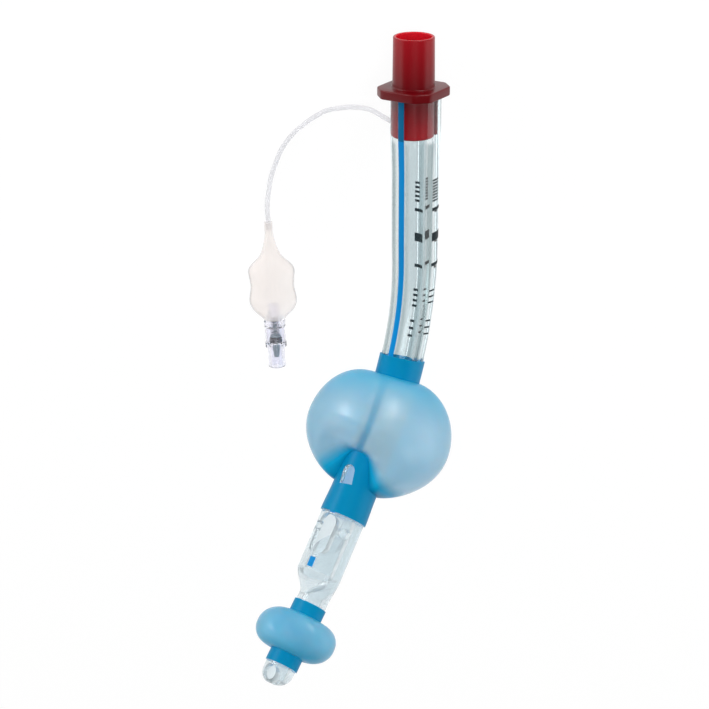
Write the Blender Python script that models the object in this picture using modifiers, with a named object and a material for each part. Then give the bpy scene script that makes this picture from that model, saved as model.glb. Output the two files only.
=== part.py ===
"""Laryngeal tube with two cuffs, a 15 mm connector, and an inflation line with a check valve.

The airway is modelled in a frame of its own: the connector's mouth is at the origin, the tube
leaves along -Y and its bend turns it towards +Z, which is ventral. A station is a distance in
metres along the axis of the airway lumen, counted from the connector's mouth. The airway is then
laid down, so that its large cuff and the connector's flange rest on the floor at z = 0.
"""

import math

import bmesh
import bpy
from mathutils import Euler, Matrix, Vector

# The gap that solids keep where one is seated in or on another.
SEAT_GAP = 0.0003
# How far a cutter reaches past the end that it opens.
CUT_REACH = 0.0020

# The axis of the airway lumen: straight, bent, straight, and bent a little more at the tip.
STRAIGHT_LENGTH = 0.0840
BEND_RADIUS = 0.1063
BEND_ANGLE = math.radians(38.9)
TIP_BEND_RADIUS = 0.1300
TIP_BEND_ANGLE = math.radians(5.0)

# Connector: a 15 mm cone, a square flange with cut corners, and a spigot in the airway lumen.
CONE_MOUTH_RADIUS = 0.00758
CONE_BASE_RADIUS = 0.00776
CONE_LENGTH = 0.0185
MOUTH_BORE_RADIUS = 0.0065
MOUTH_BORE_DEPTH = 0.0111
RIM_ROUND = 0.0004
FLANGE_SIDE = 0.0230
FLANGE_CORNER_CUT = 0.0045
FLANGE_THICKNESS = 0.0034
FLANGE_EDGE_ROUND = 0.0004
SPIGOT_RADIUS = 0.0055
SPIGOT_WALL = 0.0012
SPIGOT_LENGTH = 0.0155
CONNECTOR_TWIST = math.radians(6.3)

# Shaft: an oval tube with the airway lumen in front and the drain lumen behind it.
SHAFT_HALF_WIDTH_TOP = 0.00905
SHAFT_HALF_DEPTH_TOP = 0.0100
SHAFT_HALF_WIDTH = 0.00845
SHAFT_HALF_DEPTH = 0.0094
SHAFT_HALF_WIDTH_CUFF = 0.00767
SHAFT_HALF_DEPTH_CUFF = 0.0090
SHAFT_HALF_WIDTH_VENT = 0.0083
SHAFT_WIDENING = 0.0120
FLARE_LENGTH = 0.0200
SHAFT_TAPER_END = 0.1100
SHAFT_WIDE_END = 0.0700
SHAFT_END = 0.2110
SHAFT_AXIS_DROP = 0.0015
AIRWAY_LUMEN_RADIUS = 0.0053
DRAIN_HALF_WIDTH = 0.0030
DRAIN_HALF_DEPTH = 0.0018
SEPTUM = 0.0010
LUMEN_STEP_START = 0.0010
LUMEN_STEP_LENGTH = 0.0040

# Openings in the shaft's ventral side, cut between two heights above the lumen's axis.
OPENING_CUT_LOW = 0.0025
OPENING_CUT_HIGH = 0.0130
WINDOW_STATION = 0.1730
WINDOW_SKEW = math.radians(10.0)
WINDOW_TURN = math.radians(4.0)
WINDOW_WIDTH = 0.0052
WINDOW_LENGTH = 0.0076
VENT_TOP = 0.1888
VENT_END = 0.2052
VENT_WIDTH = 0.0072
EYE_STATION = 0.1943
EYE_WIDTH = 0.0048
EYE_LENGTH = 0.0036
EYE_ANGLE = math.radians(65.0)

# Tip adapter: a ramp that closes the airway lumen, and a cone down to the narrow tip tube.
RAMP_TOP = 0.1940
RAMP_FOOT = 0.2056
ADAPTER_CONE_LENGTH = 0.0085
ADAPTER_SPIGOT_LENGTH = 0.0045
ADAPTER_SPIGOT_WALL = 0.0012

# Tip tube: carries the small cuff, and its nose is closed, with the drain opening in front.
TIP_RADIUS = 0.0059
TIP_BORE_RADIUS = 0.0033
TIP_DORSAL_SHIFT = 0.0032
TIP_END = 0.2552
NOSE_LENGTH = 0.0060
NOSE_FULLNESS = 0.75
NOSE_VENTRAL_SHIFT = 0.0020
NOSE_TURN = math.radians(82.0)
DRAIN_OPENING_WIDTH = 0.0052
DRAIN_OPENING_LENGTH = 0.0060
DRAIN_OPENING_STATION = 0.2515

# Socket in the shaft's wall that the inflation line is bonded into; it leans to the mouth.
SOCKET_STATION = 0.0317
SOCKET_TURN = math.radians(-53.0)
SOCKET_LEAN = math.radians(30.0)
SOCKET_DEPTH = 0.0013
SOCKET_CUT_HEIGHT = 0.0040

# Large cuff, which fills the throat; its lower neck arches up above the window in front.
PHARYNX_WALL = 0.0005
PHARYNX_TOP = 0.1232
PHARYNX_SLEEVE = 0.0080
PHARYNX_HALF_LENGTH = 0.0223
PHARYNX_RADIUS = 0.0279
PHARYNX_SQUARE_STATION = 0.1490
PHARYNX_END = 0.1880
PHARYNX_UPPER_FULLNESS = 1.95
PHARYNX_LOWER_FULLNESS = 1.45
PHARYNX_ARCH_HEIGHT = 0.0120
PHARYNX_ARCH_ANGLE = math.radians(46.0)
PHARYNX_ARCH_PLACE = math.radians(12.0)
PHARYNX_ARCH_FULLNESS = 2.00

# Small cuff, which closes the gullet: a ring that leans and is pinched in front.
GULLET_WALL = 0.0004
GULLET_START = 0.0024
GULLET_SLEEVE = 0.0047
GULLET_HALF_LENGTH = 0.0078
GULLET_RADIUS = 0.01545
GULLET_LOWER_SLEEVE = 0.0047
GULLET_FULLNESS = 2.2
GULLET_LEAN = math.radians(7.0)
GULLET_PINCH_DEPTH = 0.34
GULLET_PINCH_ANGLE = math.radians(34.0)
GULLET_PINCH_PLACE = math.radians(30.0)
GULLET_PINCH_SWING = math.radians(26.0)

# Inflation line, from the shaft's socket to the neck of the pilot balloon.
LINE_RADIUS = 0.0009
LINE_DEPTH_IN_NECK = 0.0030
LINE_STRAIGHT_OUT = 0.0028
LINE_STRAIGHT_IN = 0.0015
LINE_LEVEL_OUT = 0.0065
LINE_SAG = 0.0006

# Pilot balloon: a flat pouch of film with a neck for the line and a tail round the valve.
PILOT_NECK_RADIUS = 0.0016
PILOT_NECK_LENGTH = 0.0050
PILOT_THROAT = 0.0131
PILOT_THROAT_HALF_WIDTH = 0.0039
PILOT_SHOULDER = 0.0190
PILOT_SHOULDER_HALF_WIDTH = 0.0090
PILOT_WAIST = 0.0258
PILOT_WAIST_HALF_WIDTH = 0.0082
PILOT_FOOT = 0.0318
PILOT_FOOT_HALF_WIDTH = 0.0092
PILOT_LENGTH = 0.0386
PILOT_TAIL_RADIUS = 0.0038
PILOT_HALF_THICKNESS = 0.0040
PILOT_WALL = 0.0004
PILOT_CREASE_DEPTH = 0.0005
PILOT_CREASE_HALF_WIDTH = 0.0014

# Check valve, measured from the nipple's end inside the balloon to the mouth for the syringe.
VALVE_PLACE = 0.0331
VALVE_NIPPLE_RADIUS = 0.0022
VALVE_NIPPLE_LENGTH = 0.0026
VALVE_RADIUS = 0.0041
VALVE_SHOULDER_RADIUS = 0.0032
VALVE_SHOULDER_LENGTH = 0.0008
VALVE_RING_START = 0.0063
VALVE_RING_LENGTH = 0.0021
VALVE_RING_HEIGHT = 0.00015
VALVE_STEP = 0.0002
VALVE_FOOT_TAPER = 0.0004
VALVE_FOOT_LENGTH = 0.0014
VALVE_CHAMBER_WALL = 0.0009
VALVE_LENGTH_TO_SEAT = 0.0150
VALVE_DUCT_RADIUS = 0.0011
VALVE_POCKET_RADIUS = 0.0021
VALVE_POCKET_FLOOR = 0.0043
VALVE_POCKET_DEPTH = 0.0038
POCKET_LEAD_IN = 0.0008
COLLAR_LENGTH = 0.0019
BARREL_RADIUS = 0.0033
BARREL_BORE_RADIUS = 0.0021
BARREL_LENGTH = 0.0081
SEAT_HOLE_RADIUS = 0.0019
SEAT_HOLE_FLARE = 0.00005
EDGE_BEAD = 0.0003
SEAL_RADIUS = 0.00235
SEAL_THICKNESS = 0.0017
STEM_RADIUS = 0.00145
STEM_TIP_RADIUS = 0.00095
STEM_REACH = 0.0060
STEM_COLLAR_LENGTH = 0.0014
STEM_TIP_ROUND = 0.0002
STEM_NECK_RADIUS = 0.0010
HEAD_RADIUS = 0.0020
HEAD_THICKNESS = 0.0006
GUIDE_RADIUS = 0.0008
GUIDE_LENGTH = 0.0056
SPRING_RADIUS = 0.0015
SPRING_WIRE_RADIUS = 0.0002
SPRING_TURNS = 6
SPRING_POINTS_PER_TURN = 10

# Where the pilot balloon's neck lies, from the floor below the line's socket.
PILOT_OFFSET = (-0.0458, -0.0412)
PILOT_YAW = math.radians(2.5)

# The line's route: distances from the floor below its socket, and the height of its middle.
LINE_ROUTE = (
    (-0.0074, 0.0033, 0.0086),
    (-0.0139, 0.0034, 0.0052),
    (-0.0223, 0.0016, 0.0019),
    (-0.0271, -0.0008, 0.0010),
    (-0.0320, -0.0042, 0.0010),
    (-0.0369, -0.0087, 0.0010),
    (-0.0405, -0.0139, 0.0010),
    (-0.0428, -0.0194, 0.0010),
    (-0.0444, -0.0239, 0.0014),
    (-0.0454, -0.0292, 0.0023),
)
LINE_SPACING = 0.0046
ROUTE_STEPS = 20

# How the airway lies on the floor: turned about its own length, ventral side up.
REST_ROLL = math.radians(-38.5)

# Materials: name, colour, roughness, metallic and alpha.
CONNECTOR_RED = ("connector_red", (0.35, 0.004, 0.02), 0.25, 0.0, 1.0)
SHAFT_CLEAR = ("shaft_clear", (0.90, 0.93, 0.95), 0.08, 0.0, 0.35)
ADAPTER_CLEAR = ("adapter_clear", (0.85, 0.90, 0.92), 0.10, 0.0, 0.4)
TIP_CLEAR = ("tip_clear", (0.85, 0.90, 0.92), 0.10, 0.0, 0.4)
LARGE_CUFF_BLUE = ("large_cuff_blue", (0.20, 0.48, 0.65), 0.45, 0.0, 1.0)
SMALL_CUFF_BLUE = ("small_cuff_blue", (0.15, 0.42, 0.62), 0.45, 0.0, 1.0)
LINE_CLEAR = ("line_clear", (0.85, 0.86, 0.88), 0.2, 0.0, 0.6)
PILOT_FILM = ("pilot_film", (0.92, 0.88, 0.86), 0.35, 0.0, 0.6)
VALVE_CLEAR = ("valve_clear", (0.88, 0.90, 0.93), 0.08, 0.0, 0.4)
LUER_CLEAR = ("luer_clear", (0.93, 0.92, 0.94), 0.08, 0.0, 0.4)
SEAL_RUBBER = ("seal_rubber", (0.01, 0.01, 0.01), 0.6, 0.0, 1.0)
PLUNGER_GREY = ("plunger_grey", (0.20, 0.23, 0.23), 0.5, 0.0, 1.0)
SPRING_STEEL = ("spring_steel", (0.45, 0.45, 0.45), 0.3, 1.0, 1.0)

# How finely the round forms are cut into faces.
SHAFT_SIDES = 28
LUMEN_SIDES = 18
DRAIN_SIDES = 14
OVAL_SIDES = 16
CONNECTOR_SIDES = 40
VALVE_SIDES = 24
PHARYNX_SIDES = 36
GULLET_SIDES = 28
PILOT_SIDES = 20


def clean_scene():
    """Remove whatever the file holds."""
    for item in list(bpy.data.objects):
        bpy.data.objects.remove(item, do_unlink=True)


def new_collection(name):
    """A collection in the scene."""
    collection = bpy.data.collections.new(name)
    bpy.context.scene.collection.children.link(collection)
    return collection


clean_scene()
PARTS = new_collection("laryngeal_tube")
CUTTERS = new_collection("cutters")


def smoothstep(t):
    """Ease from 0 to 1 while t goes from 0 to 1."""
    t = min(max(t, 0.0), 1.0)
    return t * t * (3.0 - 2.0 * t)


def mix(first, second, share):
    """The value at a share of the way from first to second."""
    return first + (second - first) * share


def make_material(name, colour, roughness, metallic, alpha):
    """A Principled material."""
    material = bpy.data.materials.new(name)
    material.use_nodes = True
    shader = material.node_tree.nodes["Principled BSDF"]
    shader.inputs["Base Color"].default_value = (*colour, 1.0)
    shader.inputs["Roughness"].default_value = roughness
    shader.inputs["Metallic"].default_value = metallic
    shader.inputs["Alpha"].default_value = alpha
    return material


def finish_part(part, material, parent=None):
    """Put a part in the model's collection with its material and its parent."""
    part.data.materials.clear()
    part.data.materials.append(material)
    part.data.shade_smooth()
    part.data.set_sharp_from_angle(angle=math.radians(35.0))
    part.parent = parent
    PARTS.objects.link(part)
    return part


def finish_cutter(cutter, parent=None):
    """Put a cutter in its collection, hidden from renders."""
    cutter.hide_render = True
    cutter.display_type = "WIRE"
    cutter.parent = parent
    CUTTERS.objects.link(cutter)
    return cutter


def boolean(part, other, operation="DIFFERENCE"):
    """Cut a part with another solid, or join the two."""
    modifier = part.modifiers.new(other.name, "BOOLEAN")
    modifier.operation = operation
    modifier.solver = "EXACT"
    modifier.object = other
    return modifier


def mesh_object(name, bm):
    """An object that holds the mesh, with its faces turned outwards."""
    bmesh.ops.recalc_face_normals(bm, faces=bm.faces)
    mesh = bpy.data.meshes.new(name)
    bm.to_mesh(mesh)
    bm.free()
    return bpy.data.objects.new(name, mesh)


def loft(name, rings, closed=True):
    """A surface through rings of equally many points, with a face on each end if closed."""
    bm = bmesh.new()
    loops = [[bm.verts.new(point) for point in ring] for ring in rings]
    for upper, lower in zip(loops, loops[1:]):
        for i in range(len(upper)):
            j = (i + 1) % len(upper)
            bm.faces.new((upper[i], upper[j], lower[j], lower[i]))
    if closed:
        bm.faces.new(loops[0])
        bm.faces.new(loops[-1])
    return mesh_object(name, bm)


def turned(name, profile, sides):
    """A solid turned about Z from a profile of radius and height, listed down its outer side.

    A profile that starts and ends on the axis stays open; any other closes on itself.
    """
    points = [(radius, 0.0, height) for radius, height in profile]
    edges = [(i, i + 1) for i in range(len(points) - 1)]
    if profile[0][0] > 0.0:
        edges.append((len(points) - 1, 0))
    mesh = bpy.data.meshes.new(name)
    mesh.from_pydata(points, edges, [])
    part = bpy.data.objects.new(name, mesh)
    screw = part.modifiers.new("turn", "SCREW")
    screw.steps = sides
    screw.render_steps = sides
    screw.use_merge_vertices = True
    screw.merge_threshold = 0.00001
    return part


def prism(name, outline, low, high):
    """A solid between two heights above an outline in the XY plane."""
    rings = [[Vector((x, y, height)) for x, y in outline] for height in (low, high)]
    return loft(name, rings)


def bevelled(part, width, segments=2, angle=40.0):
    """Round the part's sharp edges."""
    bevel = part.modifiers.new("rounded_edges", "BEVEL")
    bevel.width = width
    bevel.segments = segments
    bevel.limit_method = "ANGLE"
    bevel.angle_limit = math.radians(angle)
    return bevel


def axis_runs():
    """The runs of the axis from mouth to tip: length and the angle that each turns through."""
    bend = BEND_RADIUS * BEND_ANGLE
    return (
        (STRAIGHT_LENGTH, 0.0),
        (bend, BEND_ANGLE),
        (SHAFT_END - STRAIGHT_LENGTH - bend, 0.0),
        (TIP_BEND_RADIUS * TIP_BEND_ANGLE, TIP_BEND_ANGLE),
    )


def axis_directions(turn):
    """The tipward and ventral directions after the axis has turned through an angle."""
    tipward = Vector((0.0, -math.cos(turn), math.sin(turn)))
    ventral = Vector((0.0, math.sin(turn), math.cos(turn)))
    return tipward, ventral


def axis_frame(station):
    """The point of the airway lumen's axis at a station, and its tipward and ventral directions."""
    point = Vector((0.0, 0.0, 0.0))
    turned_by = 0.0
    left = station
    for length, angle in axis_runs():
        step = min(left, length)
        tipward, ventral = axis_directions(turned_by)
        turn = angle * step / length
        if turn > 0.0:
            radius = length / angle
            point += tipward * radius * math.sin(turn) + ventral * radius * (1.0 - math.cos(turn))
        else:
            point += tipward * step
        turned_by += turn
        left -= step
    tipward, ventral = axis_directions(turned_by)
    return point + tipward * left, tipward, ventral


def station_matrix(station, turn=0.0):
    """A frame at a station: Z points out at an angle from ventral, Y points to the mouth."""
    point, tipward, ventral = axis_frame(station)
    outward = ventral * math.cos(turn) + Vector((1.0, 0.0, 0.0)) * math.sin(turn)
    headward = -tipward
    side = headward.cross(outward)
    matrix = Matrix((side, headward, outward)).transposed().to_4x4()
    matrix.translation = point
    return matrix


def section_point(station, angle, half_width, half_depth, drop):
    """A point of an oval round the tube; the angle starts at ventral, and drop is dorsal."""
    point, _, ventral = axis_frame(station)
    side = half_width * math.sin(angle)
    front = half_depth * math.cos(angle) - drop
    return point + Vector((side, 0.0, 0.0)) + ventral * front


def section(station, half_width, half_depth, drop, sides):
    """The oval round the tube at a station."""
    angles = [2.0 * math.pi * i / sides for i in range(sides)]
    return [section_point(station, angle, half_width, half_depth, drop) for angle in angles]


def shaft_top():
    """The station of the shaft's upper end, just under the flange."""
    return CONE_LENGTH + FLANGE_THICKNESS + SEAT_GAP


def shaft_half_sizes(station):
    """The shaft's half width and half depth at a station."""
    flare = smoothstep((station - shaft_top()) / FLARE_LENGTH - 0.5)
    taper = smoothstep((station - SHAFT_WIDE_END) / (SHAFT_TAPER_END - SHAFT_WIDE_END))
    widening = smoothstep((station - PHARYNX_END) / SHAFT_WIDENING + 1.0)
    width = mix(SHAFT_HALF_WIDTH_TOP, SHAFT_HALF_WIDTH, flare)
    depth = mix(SHAFT_HALF_DEPTH_TOP, SHAFT_HALF_DEPTH, flare)
    width = mix(width, SHAFT_HALF_WIDTH_CUFF, taper)
    depth = mix(depth, SHAFT_HALF_DEPTH_CUFF, taper)
    width = mix(width, SHAFT_HALF_WIDTH_VENT, widening)
    return width, depth


def spread(start, end, count):
    """Evenly spread values, both ends among them."""
    return [mix(start, end, i / (count - 1)) for i in range(count)]


def shaft_stations():
    """Stations of the shaft's sections, closer together where the tube bends or changes."""
    bend_end = STRAIGHT_LENGTH + BEND_RADIUS * BEND_ANGLE
    flare_end = shaft_top() + 1.5 * FLARE_LENGTH
    stations = spread(shaft_top(), flare_end, 7)
    stations += spread(flare_end, STRAIGHT_LENGTH, 3)[1:]
    stations += spread(STRAIGHT_LENGTH, bend_end, 11)[1:]
    stations += spread(bend_end, PHARYNX_END, 5)[1:]
    stations += spread(PHARYNX_END, SHAFT_END, 3)[1:]
    return stations


def lumen_radius(station):
    """The airway lumen's radius, wider round the connector's spigot."""
    spigot_end = CONE_LENGTH + FLANGE_THICKNESS + SPIGOT_LENGTH
    narrowing = smoothstep((station - spigot_end - LUMEN_STEP_START) / LUMEN_STEP_LENGTH)
    return mix(SPIGOT_RADIUS + SEAT_GAP, AIRWAY_LUMEN_RADIUS, narrowing)


def drain_drop():
    """How far dorsal of the airway lumen's axis the drain lumen's centre lies."""
    return AIRWAY_LUMEN_RADIUS + SEPTUM + DRAIN_HALF_DEPTH


def drain_section(station, sides):
    """The drain lumen's oval at a station."""
    return section(station, DRAIN_HALF_WIDTH, DRAIN_HALF_DEPTH, drain_drop(), sides)


def slot_cutter(name, width, length, round_foot):
    """A cutter for a slot along Y through the ventral wall; its upper end is round."""
    half = width / 2.0
    arc = [math.pi * i / 10.0 for i in range(11)]
    top = length / 2.0 - half
    outline = [(half * math.cos(a), top + half * math.sin(a)) for a in arc]
    if round_foot:
        outline += [(-half * math.cos(a), -top - half * math.sin(a)) for a in arc]
    else:
        outline += [(-half, -length / 2.0), (half, -length / 2.0)]
    return prism(name, outline, OPENING_CUT_LOW, OPENING_CUT_HIGH)


def oval_cutter(name, width, length, low, high):
    """A cutter for an oval hole between two heights."""
    outline = []
    for i in range(OVAL_SIDES):
        angle = 2.0 * math.pi * i / OVAL_SIDES
        outline.append((width / 2.0 * math.cos(angle), length / 2.0 * math.sin(angle)))
    return prism(name, outline, low, high)


def build_connector(airway, material):
    """The connector, one moulding: cone, flange and spigot with a bore right through."""
    flange_top = -CONE_LENGTH
    flange_bottom = flange_top - FLANGE_THICKNESS
    end = flange_bottom - SPIGOT_LENGTH
    overlap = FLANGE_THICKNESS / 2.0
    cone = turned("cone", [
        (0.0, 0.0),
        (CONE_MOUTH_RADIUS - RIM_ROUND, 0.0),
        (CONE_MOUTH_RADIUS - 0.3 * RIM_ROUND, -0.3 * RIM_ROUND),
        (CONE_MOUTH_RADIUS, -RIM_ROUND),
        (CONE_BASE_RADIUS, flange_top - overlap),
        (SPIGOT_RADIUS, flange_top - overlap),
        (SPIGOT_RADIUS, end + RIM_ROUND),
        (SPIGOT_RADIUS - RIM_ROUND, end),
        (0.0, end),
    ], CONNECTOR_SIDES)
    bore_radius = SPIGOT_RADIUS - SPIGOT_WALL
    bore = turned("connector_bore", [
        (0.0, CUT_REACH),
        (MOUTH_BORE_RADIUS, CUT_REACH),
        (MOUTH_BORE_RADIUS, -MOUTH_BORE_DEPTH),
        (bore_radius, flange_bottom),
        (bore_radius, end - CUT_REACH),
        (0.0, end - CUT_REACH),
    ], CONNECTOR_SIDES)
    half = FLANGE_SIDE / 2.0
    cut = half - FLANGE_CORNER_CUT
    corners = [(half, cut), (cut, half), (-cut, half), (-half, cut)]
    outline = corners + [(-x, -y) for x, y in corners]
    flange = prism("connector", outline, flange_bottom, flange_top)
    bevelled(flange, FLANGE_EDGE_ROUND)
    place = Euler((math.radians(-90.0), 0.0, 0.0)).to_matrix().to_4x4()
    place = place @ Matrix.Rotation(CONNECTOR_TWIST, 4, "Z")
    for piece in (flange, cone, bore):
        piece.matrix_local = place
    boolean(flange, finish_cutter(cone, airway), "UNION")
    boolean(flange, finish_cutter(bore, airway))
    corner_points = []
    for height in (flange_bottom, flange_top):
        corner_points += [place @ Vector((x, y, height)) for x, y in outline]
    return finish_part(flange, material, airway), corner_points


def build_shaft(airway, material, line_socket):
    """The double-lumen shaft with its window, vent opening and side eyes."""
    rings = []
    for station in shaft_stations():
        width, depth = shaft_half_sizes(station)
        rings.append(section(station, width, depth, SHAFT_AXIS_DROP, SHAFT_SIDES))
    shaft = loft("shaft", rings)
    inner = [shaft_top() - CUT_REACH] + shaft_stations()[1:-1] + [SHAFT_END + CUT_REACH]
    lumen_rings = []
    drain_rings = []
    for station in inner:
        radius = lumen_radius(station)
        lumen_rings.append(section(station, radius, radius, 0.0, LUMEN_SIDES))
        drain_rings.append(drain_section(station, DRAIN_SIDES))
    lumen = loft("airway_lumen", lumen_rings)
    drain = loft("drain_lumen", drain_rings)
    window = slot_cutter("window_cut", WINDOW_WIDTH, WINDOW_LENGTH, False)
    skew = Matrix.Rotation(WINDOW_SKEW, 4, "Z")
    window.matrix_local = station_matrix(WINDOW_STATION, WINDOW_TURN) @ skew
    vent = slot_cutter("vent_cut", VENT_WIDTH, VENT_END - VENT_TOP, True)
    vent.matrix_local = station_matrix((VENT_TOP + VENT_END) / 2.0)
    cutters = [lumen, drain, window, vent]
    for side in (-1, 1):
        name = f"eye_cut_{side}"
        eye = oval_cutter(name, EYE_WIDTH, EYE_LENGTH, OPENING_CUT_LOW, OPENING_CUT_HIGH)
        eye.matrix_local = station_matrix(EYE_STATION, side * EYE_ANGLE)
        cutters.append(eye)
    cutters.append(line_socket)
    for cutter in cutters:
        boolean(shaft, finish_cutter(cutter, airway))
    return finish_part(shaft, material, airway), window


def tip_drop():
    """How far dorsal of the airway lumen's axis the tip tube's axis lies."""
    return SHAFT_AXIS_DROP + TIP_DORSAL_SHIFT


def tip_start():
    """The station of the tip tube's upper end."""
    return SHAFT_END + SEAT_GAP + ADAPTER_CONE_LENGTH + SEAT_GAP


def round_section(station, radius, sides):
    """A circle round the tip tube's axis at a station."""
    return section(station, radius, radius, tip_drop(), sides)


def build_adapter(airway, material):
    """The tip adapter: ramp, cone and spigot, with the drain passage through it."""
    start = SHAFT_END + SEAT_GAP
    end = start + ADAPTER_CONE_LENGTH
    width, depth = shaft_half_sizes(SHAFT_END)
    rings = []
    for t in spread(0.0, 1.0, 7):
        share = smoothstep(t)
        rings.append(section(
            mix(start, end, t),
            mix(width, TIP_RADIUS, share),
            mix(depth, TIP_RADIUS, share),
            mix(SHAFT_AXIS_DROP, tip_drop(), share),
            SHAFT_SIDES,
        ))
    adapter = loft("tip_adapter", rings)
    ramp_radius = AIRWAY_LUMEN_RADIUS - SEAT_GAP
    sink = start + SEAT_GAP
    ramp_rings = [[], []]
    for angle in [2.0 * math.pi * i / LUMEN_SIDES for i in range(LUMEN_SIDES)]:
        front = (1.0 + math.cos(angle)) / 2.0
        top = mix(RAMP_TOP, RAMP_FOOT, front)
        ramp_rings[0].append(section_point(top, angle, ramp_radius, ramp_radius, 0.0))
        ramp_rings[1].append(section_point(sink, angle, ramp_radius, ramp_radius, 0.0))
    ramp = loft("ramp", ramp_rings)
    spigot_radius = TIP_BORE_RADIUS + ADAPTER_SPIGOT_WALL
    spigot_end = end + ADAPTER_SPIGOT_LENGTH
    spigot = loft("adapter_spigot", [
        round_section(station, spigot_radius, LUMEN_SIDES) for station in (end - SEAT_GAP, spigot_end)
    ])
    passage_rings = [drain_section(start - CUT_REACH, LUMEN_SIDES)]
    for t in spread(0.0, 1.0, 6):
        share = smoothstep(t)
        passage_rings.append(section(
            mix(start, end, t),
            mix(DRAIN_HALF_WIDTH, TIP_BORE_RADIUS, share),
            mix(DRAIN_HALF_DEPTH, TIP_BORE_RADIUS, share),
            mix(drain_drop(), tip_drop(), share),
            LUMEN_SIDES,
        ))
    passage_rings.append(round_section(spigot_end + CUT_REACH, TIP_BORE_RADIUS, LUMEN_SIDES))
    passage = loft("drain_passage", passage_rings)
    for other, operation in ((ramp, "UNION"), (spigot, "UNION"), (passage, "DIFFERENCE")):
        boolean(adapter, finish_cutter(other, airway), operation)
    return finish_part(adapter, material, airway)


def build_tip(airway, material):
    """The narrow tip tube with its closed nose and the drain opening in front."""
    start = tip_start()
    nose_start = TIP_END - NOSE_LENGTH
    rings = [round_section(station, TIP_RADIUS, SHAFT_SIDES) for station in (start, nose_start)]
    steps = 7
    for i in range(1, steps + 1):
        turn = NOSE_TURN * i / steps
        radius = TIP_RADIUS * math.cos(turn) ** NOSE_FULLNESS
        station = nose_start + NOSE_LENGTH * math.sin(turn) / math.sin(NOSE_TURN)
        shift = NOSE_VENTRAL_SHIFT * (1.0 - math.cos(turn))
        rings.append(section(station, radius, radius, tip_drop() - shift, SHAFT_SIDES))
    tip = loft("tip_tube", rings)
    bore_end = DRAIN_OPENING_STATION + DRAIN_OPENING_LENGTH / 5.0
    socket_radius = TIP_BORE_RADIUS + ADAPTER_SPIGOT_WALL + SEAT_GAP
    socket_end = start + ADAPTER_SPIGOT_LENGTH
    bores = []
    for name, radius, end in (
        ("tip_bore", TIP_BORE_RADIUS, bore_end),
        ("tip_socket", socket_radius, socket_end),
    ):
        ends = (start - CUT_REACH, end)
        bores.append(loft(name, [round_section(station, radius, LUMEN_SIDES) for station in ends]))
    height = 2.0 * TIP_RADIUS
    opening = oval_cutter("drain_opening", DRAIN_OPENING_WIDTH, DRAIN_OPENING_LENGTH, 0.0, height)
    place = station_matrix(DRAIN_OPENING_STATION)
    opening.matrix_local = place @ Matrix.Translation((0.0, 0.0, -tip_drop()))
    for cutter in (*bores, opening):
        boolean(tip, finish_cutter(cutter, airway))
    return finish_part(tip, material, airway)


def solidify(film, wall):
    """Give an open surface its wall, inwards."""
    modifier = film.modifiers.new("film", "SOLIDIFY")
    modifier.thickness = wall
    modifier.offset = -1.0
    modifier.use_even_offset = True
    return modifier


def superellipse(turn, fullness):
    """Axial and radial share of a full curve, while turn goes from -90 to 90 degrees."""
    power = 2.0 / fullness
    axial = math.copysign(abs(math.sin(turn)) ** power, turn)
    return axial, max(math.cos(turn), 0.0) ** power


def build_pharynx_cuff(airway, material, window):
    """The large cuff, one blown film with a sleeve at each end."""
    centre = PHARYNX_TOP + PHARYNX_SLEEVE + PHARYNX_HALF_LENGTH
    angles = [2.0 * math.pi * i / PHARYNX_SIDES for i in range(PHARYNX_SIDES)]
    stand_off = SEAT_GAP + PHARYNX_WALL
    _, _, square = axis_frame(PHARYNX_SQUARE_STATION)

    def arch(angle):
        offset = math.remainder(angle - PHARYNX_ARCH_PLACE, 2.0 * math.pi)
        return math.exp(-((offset / PHARYNX_ARCH_ANGLE) ** 4))

    def neck_end(angle):
        return centre + PHARYNX_HALF_LENGTH - PHARYNX_ARCH_HEIGHT * arch(angle)

    def surface_point(station, angle, swell):
        width, depth = shaft_half_sizes(station)
        width += stand_off
        depth += stand_off
        side = (PHARYNX_RADIUS - width) * swell * math.sin(angle)
        front = (PHARYNX_RADIUS - depth) * swell * math.cos(angle)
        neck = section_point(station, angle, width, depth, SHAFT_AXIS_DROP)
        return neck + Vector((side, 0.0, 0.0)) + square * front

    rings = []
    for station in (PHARYNX_TOP, PHARYNX_TOP + 0.5 * PHARYNX_SLEEVE):
        rings.append([surface_point(station, angle, 0.0) for angle in angles])
    steps = 14
    for i in range(steps + 1):
        turn = math.pi * (i / steps - 0.5)
        ring = []
        for angle in angles:
            fullness = mix(PHARYNX_LOWER_FULLNESS, PHARYNX_ARCH_FULLNESS, arch(angle))
            reach = neck_end(angle) - centre
            if turn < 0.0:
                fullness = PHARYNX_UPPER_FULLNESS
                reach = PHARYNX_HALF_LENGTH
            radial = max(math.cos(turn), 0.0) ** (2.0 / fullness)
            ring.append(surface_point(centre + math.sin(turn) * reach, angle, radial))
        rings.append(ring)
    for share in spread(0.0, 1.0, 4)[1:]:
        rings.append([surface_point(mix(neck_end(a), PHARYNX_END, share), a, 0.0) for a in angles])
    cuff = loft("pharynx_cuff", rings, closed=False)
    solidify(cuff, PHARYNX_WALL)
    boolean(cuff, window)
    points = [point for ring in rings for point in ring]
    return finish_part(cuff, material, airway), points


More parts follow.
